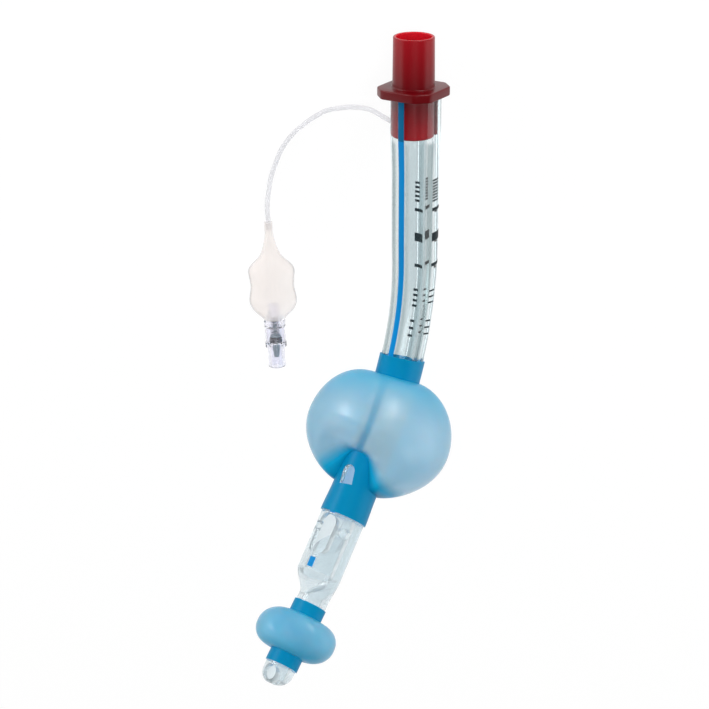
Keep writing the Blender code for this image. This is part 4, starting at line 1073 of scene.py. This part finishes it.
@dataclass
class PharynxCuff:
    """The large cuff, one blown film whose lower neck arches up in front, with a sleeve at each end."""

    wall: float = 0.0005
    clearance: float = 0.0001
    top: float = 0.1232
    sleeve: float = 0.0080
    half_length: float = 0.0223
    radius: float = 0.0279
    square_station: float = 0.1490
    end: float = 0.1880
    upper_fullness: float = 1.95
    lower_fullness: float = 1.45
    arch_fullness: float = 2.0
    arch_height: float = 0.0120
    arch_angle: float = math.radians(46.0)
    arch_place: float = math.radians(12.0)
    # Painted shade: how much deeper the film is painted round the sides than on top.
    side_shade_depth: float = 0.24
    top_rise: float = 0.6
    thick_side: float = 0.0053
    thick_front: float = 0.0006
    top_tone: tuple[float, float, float] = (0.0, 0.35, 0.024)
    low_tone: tuple[float, float] = (0.10, 0.0065)
    sleeve_rings: int = 8
    neck_rings: int = 10
    sides: int = 160
    steps: int = 72
    shaft: Shaft = field(default_factory=Shaft)

    def arch(self, angle: float) -> float:
        """How much of the arch in front is met at an angle, 0 to 1."""
        offset = math.remainder(angle - self.arch_place, 2.0 * math.pi)
        return math.exp(-((offset / self.arch_angle) ** 4))

    def centre(self) -> float:
        """The station of the film's widest place."""
        return self.top + self.sleeve + self.half_length

    def neck_end(self, angle: float) -> float:
        """The station where the film meets the lower sleeve, higher in front."""
        return self.centre() + self.half_length - self.arch_height * self.arch(angle)

    def point(self, station: float, angle: float, swell: float) -> np.ndarray:
        """A point of the film, blown out by a share of its full radius."""
        width, depth = (size + self.clearance + self.wall for size in self.shaft.half_sizes(station))
        _, side, _, square = AXIS.at(self.square_station)
        neck = AXIS.section(station, width, depth, self.shaft.axis_drop, np.array([angle]))[0]
        across = (self.radius - width) * swell * math.sin(angle)
        front = (self.radius - depth) * swell * math.cos(angle)
        return neck + side * across + square * front

    def blown_point(self, turn: float, angle: float) -> np.ndarray:
        """A point of the blown part at a turn from its upper end, -90 degrees, to its lower, 90."""
        fullness, reach = self.upper_fullness, self.half_length
        if turn >= 0.0:
            fullness = mix(self.lower_fullness, self.arch_fullness, self.arch(angle))
            reach = self.neck_end(angle) - self.centre()
        radial = max(math.cos(turn), 0.0) ** (2.0 / fullness)
        return self.point(self.centre() + math.sin(turn) * reach, angle, radial)

    def build(self):
        """Build the large cuff and return the dressed piece."""
        angles = circle_angles(self.sides)
        rings = [[self.point(s, a, 0.0) for a in angles]
                 for s in np.linspace(self.top, self.top + self.sleeve, self.sleeve_rings)[:-1]]
        upper_rings = len(rings)
        rings += [[self.blown_point(turn, a) for a in angles]
                  for turn in np.linspace(-HALF_TURN, HALF_TURN, self.steps + 1)]
        blown_end = len(rings) - 1
        rings += [[self.point(mix(self.neck_end(a), self.end, share), a, 0.0) for a in angles]
                  for share in np.linspace(0.0, 1.0, self.neck_rings)[1:]]
        grid = np.array(rings)
        run = surface_distance(grid)
        thick = np.array([mix(self.thick_side, self.thick_front, self.arch(a)) for a in angles])
        stretch = np.minimum(film_tone(run - run[upper_rings], *self.top_tone),
                             film_tone(run[blown_end] - run, thick, *self.low_tone))
        # The stretch mark also carries the painted shade round the sides.
        cuff = film_object("pharynx_cuff_film", grid, self.wall,
                           {"stretch": stretch * self.painted_side_shade(grid)})
        boolean(cuff, [self.shaft.window()])
        return dress(cuff, CUFF_FILM, Slot.CUFF, ["pharynx_cuff"], 45.0)

    def painted_side_shade(self, grid: np.ndarray) -> np.ndarray:
        """Painted shade: the share of the paleness that each point keeps, all on top and less round the
        sides, so the sides are painted deeper.
        """
        outward = grid - AXIS.at(self.centre())[0]
        rise = outward[:, :, 2] / np.linalg.norm(outward, axis=2)
        return 1.0 - self.side_shade_depth * (1.0 - np.clip(rise / self.top_rise, 0.0, 1.0))


@dataclass
class GulletCuff:
    """The small cuff, one blown film round the tip tube, leaning and pinched in front."""

    wall: float = 0.0004
    clearance: float = 0.0001
    top: float = 0.2225
    sleeve: float = 0.0047
    half_length: float = 0.0078
    radius: float = 0.01545
    end: float = 0.2475
    fullness: float = 2.2
    lean: float = math.radians(7.0)
    pinch_depth: float = 0.34
    pinch_angle: float = math.radians(34.0)
    pinch_place: float = math.radians(30.0)
    pinch_swing: float = math.radians(26.0)
    palest: float = 0.68
    top_tone: tuple[float, float, float] = (0.0, 0.5, 0.007)
    low_tone: tuple[float, float, float] = (0.0005, 0.3, 0.009)
    sleeve_rings: int = 6
    sides: int = 128
    steps: int = 56
    tip: Tip = field(default_factory=Tip)

    def build(self):
        """Build the small cuff and return the dressed piece."""
        angles = circle_angles(self.sides)
        centre = self.top + self.sleeve + self.half_length
        neck = self.tip.radius + self.clearance + self.wall
        drop = self.tip.drop()
        rings = [AXIS.ring(s, neck, drop, angles)
                 for s in np.linspace(self.top, self.top + self.sleeve, self.sleeve_rings)[:-1]]
        upper_rings = len(rings)
        folds = [np.zeros(self.sides) for _ in rings]
        power = 2.0 / self.fullness
        for turn in np.linspace(-HALF_TURN, HALF_TURN, self.steps + 1):
            axial = math.copysign(abs(math.sin(turn)) ** power, turn)
            swell = max(math.cos(turn), 0.0) ** power
            place = self.pinch_place + self.pinch_swing * axial
            ring, fold = [], []
            for angle in angles:
                offset = math.remainder(angle - place, 2.0 * math.pi)
                pinch = math.exp(-((offset / self.pinch_angle) ** 2))
                radius = mix(neck, self.radius, swell * (1.0 - self.pinch_depth * pinch))
                lean = math.tan(self.lean) * math.cos(angle) * (radius - neck)
                station = centre + axial * self.half_length + lean
                ring.append(AXIS.ring(station, radius, drop, np.array([angle]))[0])
                fold.append(pinch * swell)
            rings.append(ring)
            folds.append(fold)
        blown_end = len(rings) - 1
        for s in np.linspace(centre + self.half_length, self.end, self.sleeve_rings)[1:]:
            rings.append(AXIS.ring(s, neck, drop, angles))
            folds.append(np.zeros(self.sides))
        grid = np.array(rings)
        run = surface_distance(grid)
        stretch = np.minimum(film_tone(run - run[upper_rings], *self.top_tone),
                             film_tone(run[blown_end] - run, *self.low_tone))
        # The crease mark places the painted shade in the pinch.
        cuff = film_object("gullet_cuff_film", grid, self.wall,
                           {"stretch": self.palest * stretch, "crease": np.array(folds)})
        apply_modifiers(cuff)
        return dress(cuff, CUFF_FILM, Slot.CUFF, ["gullet_cuff"], 45.0)


# The route of the inflation line, from its socket in the shaft to the pilot balloon's neck.
LINE_ROUTE: tuple[Point, ...] = (
    (0.01451, 0.08343, 0.01236), (0.01122, 0.08533, 0.01230), (0.00625, 0.08723, 0.00860),
    (-0.00025, 0.08733, 0.00520), (-0.00865, 0.08553, 0.00190), (-0.01345, 0.08313, 0.00100),
    (-0.01835, 0.07973, 0.00100), (-0.02325, 0.07523, 0.00100), (-0.02685, 0.07003, 0.00100),
    (-0.02915, 0.06453, 0.00100), (-0.03075, 0.06003, 0.00140), (-0.03175, 0.05473, 0.00230),
    (-0.03243, 0.04923, 0.00350), (-0.03222, 0.04423, 0.00410), (-0.03202, 0.03973, 0.00410),
)


@dataclass
class InflationLine:
    """The thin vinyl line between the shaft and the pilot balloon."""

    diameter: float = 0.0018
    length: float = 0.0826
    steps: int = 5

    def smooth_points(self) -> list[Vector]:
        """Points on one smooth curve through the route's own points."""
        points = [Vector(point) for point in LINE_ROUTE]
        ends = [2.0 * points[0] - points[1], *points, 2.0 * points[-1] - points[-2]]
        fine = []
        for before, start, end, after in zip(ends, ends[1:], ends[2:], ends[3:]):
            for step in range(self.steps):
                t = step / self.steps
                fine.append(0.5 * (2.0 * start + (end - before) * t
                                   + (2.0 * before - 5.0 * start + 4.0 * end - after) * t ** 2
                                   + (3.0 * start - before - 3.0 * end + after) * t ** 3))
        return [*fine, points[-1]]

    def build(self):
        """Build the line and return the dressed piece."""
        points = self.smooth_points()
        curve = bpy.data.curves.new("inflation_line_tube", "CURVE")
        curve.dimensions = "3D"
        curve.bevel_depth = self.diameter / 2.0
        curve.bevel_resolution = 5
        curve.use_fill_caps = True
        spline = curve.splines.new("POLY")
        spline.points.add(len(points) - 1)
        spline.use_smooth = True
        for item, point in zip(spline.points, points):
            item.co = (*point, 1.0)
        line = link_object("inflation_line_tube", curve)
        return dress(line, LINE_VINYL, Slot.LINE, ["inflation_line"], shadow=True)


@dataclass
class PilotBalloon:
    """The pilot balloon: a flat pouch of film with a welded rim, round the valve at its tail."""

    place: Point = (-0.03215, 0.04273, 0.0041)
    yaw: float = math.radians(2.5)
    neck_radius: float = 0.0016
    neck_length: float = 0.0050
    throat: float = 0.0131
    throat_half_width: float = 0.0039
    shoulder: float = 0.0190
    shoulder_half_width: float = 0.0090
    waist: float = 0.0258
    waist_half_width: float = 0.0082
    foot: float = 0.0318
    foot_half_width: float = 0.0092
    length: float = 0.0386
    tail_radius: float = 0.0038
    half_thickness: float = 0.0040
    wall: float = 0.0004
    crease_depth: float = 0.0005
    crease_half_width: float = 0.0014
    rim_points: int = 2
    sides: int = 64
    spacing: float = 0.0007

    def carrier(self) -> Matrix:
        """The frame at the balloon's neck; -Y runs to the tail."""
        return Matrix.Translation(self.place) @ Matrix.Rotation(self.yaw, 4, "Z")

    def plan(self) -> np.ndarray:
        """Rows of distance, half width, half thickness and flatness from neck to tail."""
        thick = self.half_thickness
        share = self.throat_half_width / self.shoulder_half_width
        neck = (self.neck_length, self.neck_radius)
        throat = (self.throat, self.throat_half_width)
        shoulder = (self.shoulder, self.shoulder_half_width)
        waist = (self.waist, self.waist_half_width)
        foot = (self.foot, self.foot_half_width)
        tail = (self.length, self.tail_radius)
        # From one place to the next: shares of the way in distance and in width, then the
        # half thickness and the flatness there.
        rows = (
            (neck, neck, 0.0, 0.0, self.neck_radius, 0.0),
            (neck, throat, 0.55, 0.42, mix(self.neck_radius, share * thick, 0.5), 0.3),
            (throat, throat, 0.0, 0.0, mix(share, 1.0, 0.25) * thick, 0.6),
            (throat, shoulder, 0.25, 0.30, mix(share, 1.0, 0.5) * thick, 0.8),
            (throat, shoulder, 0.72, 0.87, mix(share, 1.0, 0.8) * thick, 1.0),
            (shoulder, shoulder, 0.0, 0.0, 0.95 * thick, 1.0),
            (shoulder, waist, 0.5, 0.6, thick, 1.0),
            (waist, waist, 0.0, 0.0, thick, 1.0),
            (waist, foot, 0.6, 0.75, thick, 1.0),
            (foot, foot, 0.0, 0.0, thick, 0.8),
            (foot, tail, 0.45, 0.22, thick, 0.5),
            (foot, tail, 0.75, 0.62, thick, 0.2),
            (tail, tail, 0.0, 0.0, self.tail_radius, 0.0),
        )
        start = (0.0, self.neck_radius, self.neck_radius, 0.0)
        return np.array([start, *((mix(a[0], b[0], along), mix(a[1], b[1], wide), deep, flat)
                                  for a, b, along, wide, deep, flat in rows)])

    def lens(self, half_width: float, half_thickness: float, flatness: float) -> list:
        """A closed section from a round one, at flatness 0, to a lens with a sharp rim, at 1."""
        power = mix(0.5, 0.9, flatness)
        half = self.sides // 2
        upper = []
        for i in range(1, half):
            across = math.cos(math.pi * i / half)
            height = half_thickness * (1.0 - across * across) ** power
            fold = math.exp(-((half_width * across / self.crease_half_width) ** 2))
            upper.append((half_width * across, height - self.crease_depth * flatness * fold))
        lower = [(x, -z) for x, z in reversed(upper)]
        return [(half_width, 0.0), *upper, (-half_width, 0.0), *lower]

    def build(self):
        """Build the balloon and return the dressed piece."""
        plan = self.plan()
        wanted = np.linspace(0.0, self.length, round(self.length / self.spacing))
        columns = [np.interp(wanted, plan[:, 0], plan[:, i]) for i in range(1, 4)]
        kernel = np.array([1.0, 2.0, 3.0, 2.0, 1.0]) / 9.0
        smooth = [np.convolve(np.pad(c, 2, mode="edge"), kernel, mode="valid") for c in columns]
        place = self.carrier()
        rings = [[place @ Vector((x, -along, z)) for x, z in self.lens(w, t, f)]
                 for along, w, t, f in zip(wanted, *smooth)]
        half = self.sides // 2
        from_edge = (np.arange(self.sides) + self.rim_points) % half
        rim = np.tile(np.where(from_edge <= 2 * self.rim_points, 1.0, 0.0), len(rings))
        pouch = film_object("pilot_balloon_film", rings, self.wall, {"rim": rim}, even=False)
        apply_modifiers(pouch)
        return dress(pouch, POUCH_FILM, Slot.PILOT, ["pilot_balloon"], 50.0)


@dataclass
class CheckValve:
    """The clear check valve: housing, syringe end, and the plunger that a spring holds shut."""

    place: float = 0.0331
    gap: float = 0.0003
    nipple_radius: float = 0.0022
    nipple_length: float = 0.0026
    radius: float = 0.0041
    shoulder_radius: float = 0.0032
    ring_start: float = 0.0063
    ring_length: float = 0.0021
    chamber_wall: float = 0.0009
    seat: float = 0.0150
    duct_radius: float = 0.0011
    pocket_radius: float = 0.0021
    pocket_floor: float = 0.0043
    pocket_depth: float = 0.0038
    collar_length: float = 0.0019
    barrel_radius: float = 0.0033
    barrel_bore: float = 0.0021
    barrel_length: float = 0.0081
    seat_hole: float = 0.0019
    seal_radius: float = 0.00235
    seal_thickness: float = 0.0017
    stem_radius: float = 0.00145
    stem_tip_radius: float = 0.00095
    stem_reach: float = 0.0060
    stem_neck_radius: float = 0.0010
    head_radius: float = 0.0020
    head_thickness: float = 0.0006
    guide_radius: float = 0.0008
    guide_length: float = 0.0056
    travel: float = 0.0012
    body_inset: float = 0.00015
    shoulder_step: float = 0.0008
    ring_bevel: float = 0.0002
    mouth_taper: tuple[float, float] = (0.0014, 0.0004)
    pocket_cone: float = 0.0008
    collar_draft: float = 0.00005
    stem_chamfer: float = 0.0002
    stem_straight: float = 0.0014
    housing_round: float = 0.0002
    edge_round: float = 0.0003
    stem_round: float = 0.00015
    sides: int = 80
    balloon: PilotBalloon = field(default_factory=PilotBalloon)

    def frame(self) -> Matrix:
        """The valve's frame: Z runs from the nipple to the mouth."""
        return (self.balloon.carrier() @ Matrix.Translation((0.0, -self.place, 0.0))
                @ Matrix.Rotation(math.radians(90.0), 4, "X"))

    def neck_start(self) -> float:
        """Where the plunger's head ends and its neck through the seal starts."""
        return self.seat - 2.0 * self.gap - self.seal_thickness

    def turn(self, name: str, profile: Profile, rounding: float, finish: Finish, slot: Slot, node: str,
             body: Body = Body.TUBE, shadow: bool = True):
        """A turned piece from an outline that is listed from nipple to mouth on the outside.

        Args:
            name: The piece's name.
            profile: Pairs of radius and height.
            rounding: The radius of its rounded corners.
            finish: Its finish.
            slot: The record's slot.
            node: The solid that it stands for.
            body: The body that it moves with.
            shadow: Whether it casts a shadow.

        Returns:
            The dressed piece.
        """
        piece = turned(name, rounded(profile, rounding), self.sides, self.frame())
        return dress(piece, finish, slot, [node], 40.0, body, shadow)

    def build(self) -> list:
        """Build the valve's pieces and return them."""
        return [self.housing(), self.luer(), self.seal(), self.plunger(), self.spring()]

    def housing(self):
        """The housing: nipple, shoulder, step ring and chamber, hollow from end to end."""
        end = self.seat - self.gap
        ring_end = self.ring_start + self.ring_length
        body = self.radius - self.body_inset
        taper, narrowing = self.mouth_taper
        chamber = self.radius - self.chamber_wall
        pocket_end = self.pocket_floor + self.pocket_depth
        return self.turn("valve_housing_shell", [
            (self.duct_radius, 0.0), (self.nipple_radius, 0.0), (self.nipple_radius, self.nipple_length),
            (self.shoulder_radius, self.ring_start - self.shoulder_step),
            (self.shoulder_radius, self.ring_start), (self.radius, self.ring_start + self.ring_bevel),
            (self.radius, ring_end), (body, ring_end + self.ring_bevel), (body, end - taper),
            (body - narrowing, end), (chamber, end), (chamber, pocket_end + self.pocket_cone),
            (self.pocket_radius, pocket_end), (self.pocket_radius, self.pocket_floor),
            (self.duct_radius, self.pocket_floor),
        ], self.housing_round, VALVE_CLEAR, Slot.VALVE, "valve_housing", shadow=False)

    def luer(self):
        """The syringe end: a collar with the seat in it, and an open barrel."""
        collar_end = self.seat + self.collar_length
        end = collar_end + self.barrel_length
        return self.turn("valve_luer_barrel", [
            (self.seat_hole, self.seat), (self.radius, self.seat), (self.radius, collar_end),
            (self.barrel_radius, collar_end), (self.barrel_radius, end), (self.barrel_bore, end),
            (self.seat_hole + self.collar_draft, collar_end),
        ], self.edge_round, VALVE_CLEAR, Slot.VALVE, "valve_luer", shadow=False)

    def seal(self):
        """The rubber disc that the spring holds against the seat."""
        end = self.seat - self.gap
        start = end - self.seal_thickness
        bore = self.stem_neck_radius + self.gap / 3.0
        return self.turn("valve_seal_disc", [
            (bore, start), (self.seal_radius, start), (self.seal_radius, end), (bore, end),
        ], self.edge_round, SEAL_BLACK, Slot.SEAL, "valve_seal", Body.PLUNGER)

    def plunger(self):
        """The plunger: spring guide, head, neck through the seal, and the stem."""
        neck = self.neck_start()
        head = neck - self.head_thickness
        tip = self.seat + self.stem_reach
        chamfer = self.stem_chamfer
        return self.turn("valve_plunger_stem", [
            (0.0, head - self.guide_length), (self.guide_radius, head - self.guide_length),
            (self.guide_radius, head), (self.head_radius, head), (self.head_radius, neck),
            (self.stem_neck_radius, neck), (self.stem_neck_radius, self.seat),
            (self.stem_radius, self.seat + chamfer), (self.stem_radius, self.seat + self.stem_straight),
            (self.stem_tip_radius, tip - chamfer), (self.stem_tip_radius - chamfer, tip), (0.0, tip),
        ], self.stem_round, PLUNGER_GREY, Slot.PLUNGER, "valve_plunger", Body.PLUNGER)

    def spring(self):
        """The steel spring, a copy of the model's own spring mesh."""
        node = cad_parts["valve_spring"]
        coil = node.data.copy()
        coil.transform(node.matrix_world)
        wire = dress(link_object("valve_spring_wire", coil), SPRING_STEEL, Slot.SPRING,
                     ["valve_spring"], shadow=True)
        place = self.frame()
        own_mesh(wire)
        return wire


@dataclass(frozen=True)
class Lamp:
    """A soft lamp: where it stands, how large it is, and how strong."""

    name: str
    place: Point
    aim: Point
    size: tuple[float, float]
    power: float
    mirrored: bool = True

    def build(self) -> None:
        """Add the lamp to the scene."""
        data = bpy.data.lights.new(self.name, "AREA")
        data.shape = "RECTANGLE"
        data.size, data.size_y = self.size
        data.energy = self.power
        lamp = link_object(self.name, data)
        lamp.location = self.place
        direction = Vector(self.aim) - Vector(self.place)
        lamp.rotation_euler = direction.to_track_quat("-Z", "Y").to_euler()
        lamp.visible_glossy = self.mirrored


LAMPS = (
    Lamp("lamp_left", (-0.85, -0.15, 0.22), (0.0, 0.0, 0.02), (0.8, 0.4), 1.5),
    Lamp("lamp_right", (0.85, -0.15, 0.22), (0.0, 0.0, 0.02), (0.8, 0.4), 1.5),
    Lamp("strip_left", (-0.74, 0.62, 0.12), (0.0, 0.0, 0.03), (0.20, 0.6), 4.2),
    Lamp("strip_right", (0.38, 0.80, 0.34), (0.0, 0.0, 0.03), (0.20, 0.6), 3.4),
    Lamp("lamp_top", (0.1, 0.25, 1.3), (0.0, 0.0, 0.0), (0.9, 0.7), 7.6, mirrored=False),
)


@dataclass
class Studio:
    """The camera, the pale floor, the world and the lamps."""

    camera_place: Point = (0.00046, 0.27358, 0.74515)
    camera_right: Point = (0.99999, -0.00327, 0.00097)
    camera_up: Point = (0.0034, 0.93356, -0.3584)
    lens: float = 104.21
    floor_size: float = 8.0
    world_grey: float = 0.24
    world_mirrored: float = 0.12
    world_through: float = 0.55
    floor_shade: float = 0.86
    floor_roughness: float = 0.9
    floor_specular: float = 0.1
    floor_glow: float = 0.90
    floor_white: float = 1.03

    def build(self) -> None:
        """Set up everything round the object."""
        self.build_camera()
        self.build_floor()
        self.build_world()
        for lamp in LAMPS:
            lamp.build()
        bpy.context.scene.view_settings.view_transform = "Standard"

    def build_camera(self) -> None:
        """The camera at the photograph's own viewing angle."""
        data = bpy.data.cameras.new("camera")
        data.lens = self.lens
        data.clip_start = 0.01
        data.clip_end = 20.0
        camera = link_object("camera", data)
        right = Vector(self.camera_right).normalized()
        back = right.cross(Vector(self.camera_up)).normalized()
        turn = Matrix((right, back.cross(right), back)).transposed().to_4x4()
        camera.matrix_world = Matrix.Translation(self.camera_place) @ turn
        bpy.context.scene.camera = camera

    def build_floor(self) -> None:
        """A pale floor that looks white and still takes the object's shadow."""
        half = self.floor_size / 2.0
        corners = np.array([(-half, -half, 0.0), (half, -half, 0.0), (half, half, 0.0), (-half, half, 0.0)])
        floor = new_mesh_object("floor", corners, [(0, 1, 2, 3)])
        material = bpy.data.materials.new("pale_floor")
        material.use_nodes = True
        nodes = Nodes(material.node_tree)
        shader = material.node_tree.nodes["Principled BSDF"]
        set_inputs(shader, {"Base Color": (*(self.floor_shade,) * 3, 1.0),
                            "Roughness": self.floor_roughness,
                            "Specular IOR Level": self.floor_specular})
        glow = nodes.add("ShaderNodeEmission")
        glow.inputs["Strength"].default_value = self.floor_white
        path = nodes.add("ShaderNodeLightPath")
        seen = nodes.math("MAXIMUM", path.outputs["Is Camera Ray"], path.outputs["Is Glossy Ray"])
        seen = nodes.math("MAXIMUM", seen, path.outputs["Is Transmission Ray"])
        blend = nodes.add("ShaderNodeMixShader")
        nodes.link(nodes.math("MULTIPLY", seen, self.floor_glow), blend.inputs[0])
        nodes.link(shader.outputs[0], blend.inputs[1])
        nodes.link(glow.outputs[0], blend.inputs[2])
        output = material.node_tree.nodes["Material Output"]
        nodes.link(blend.outputs[0], output.inputs["Surface"])
        floor.data.materials.append(material)

    def build_world(self) -> None:
        """A pale world: white to the camera, darker as light, in gloss and through clear pieces."""
        world = bpy.data.worlds.new("pale_room")
        world.use_nodes = True
        nodes = Nodes(world.node_tree)
        background = world.node_tree.nodes["Background"]
        path = nodes.add("ShaderNodeLightPath")
        grey, mirrored, through, white = ((value,) * 3 for value in (
            self.world_grey, self.world_mirrored, self.world_through, 1.0))
        light = nodes.mix_colour(path.outputs["Is Glossy Ray"], grey, mirrored)
        light = nodes.mix_colour(path.outputs["Is Transmission Ray"], light, through)
        nodes.link(nodes.mix_colour(path.outputs["Is Camera Ray"], light, white),
                   background.inputs["Color"])
        background.inputs["Strength"].default_value = 1.0
        bpy.context.scene.world = world


def main() -> None:
    """Build the studio and every piece, in order."""
    logging.basicConfig(level=logging.INFO, format="%(name)s %(message)s")
    Studio().build()
    line = InflationLine()
    line_tube = line.build()
    Connector().build()
    Shaft().build()
    Tip().build()
    PharynxCuff().build()
    GulletCuff().build()
    pouch = PilotBalloon().build()
    valve = CheckValve().build()


if __name__ == "__main__":
    main()
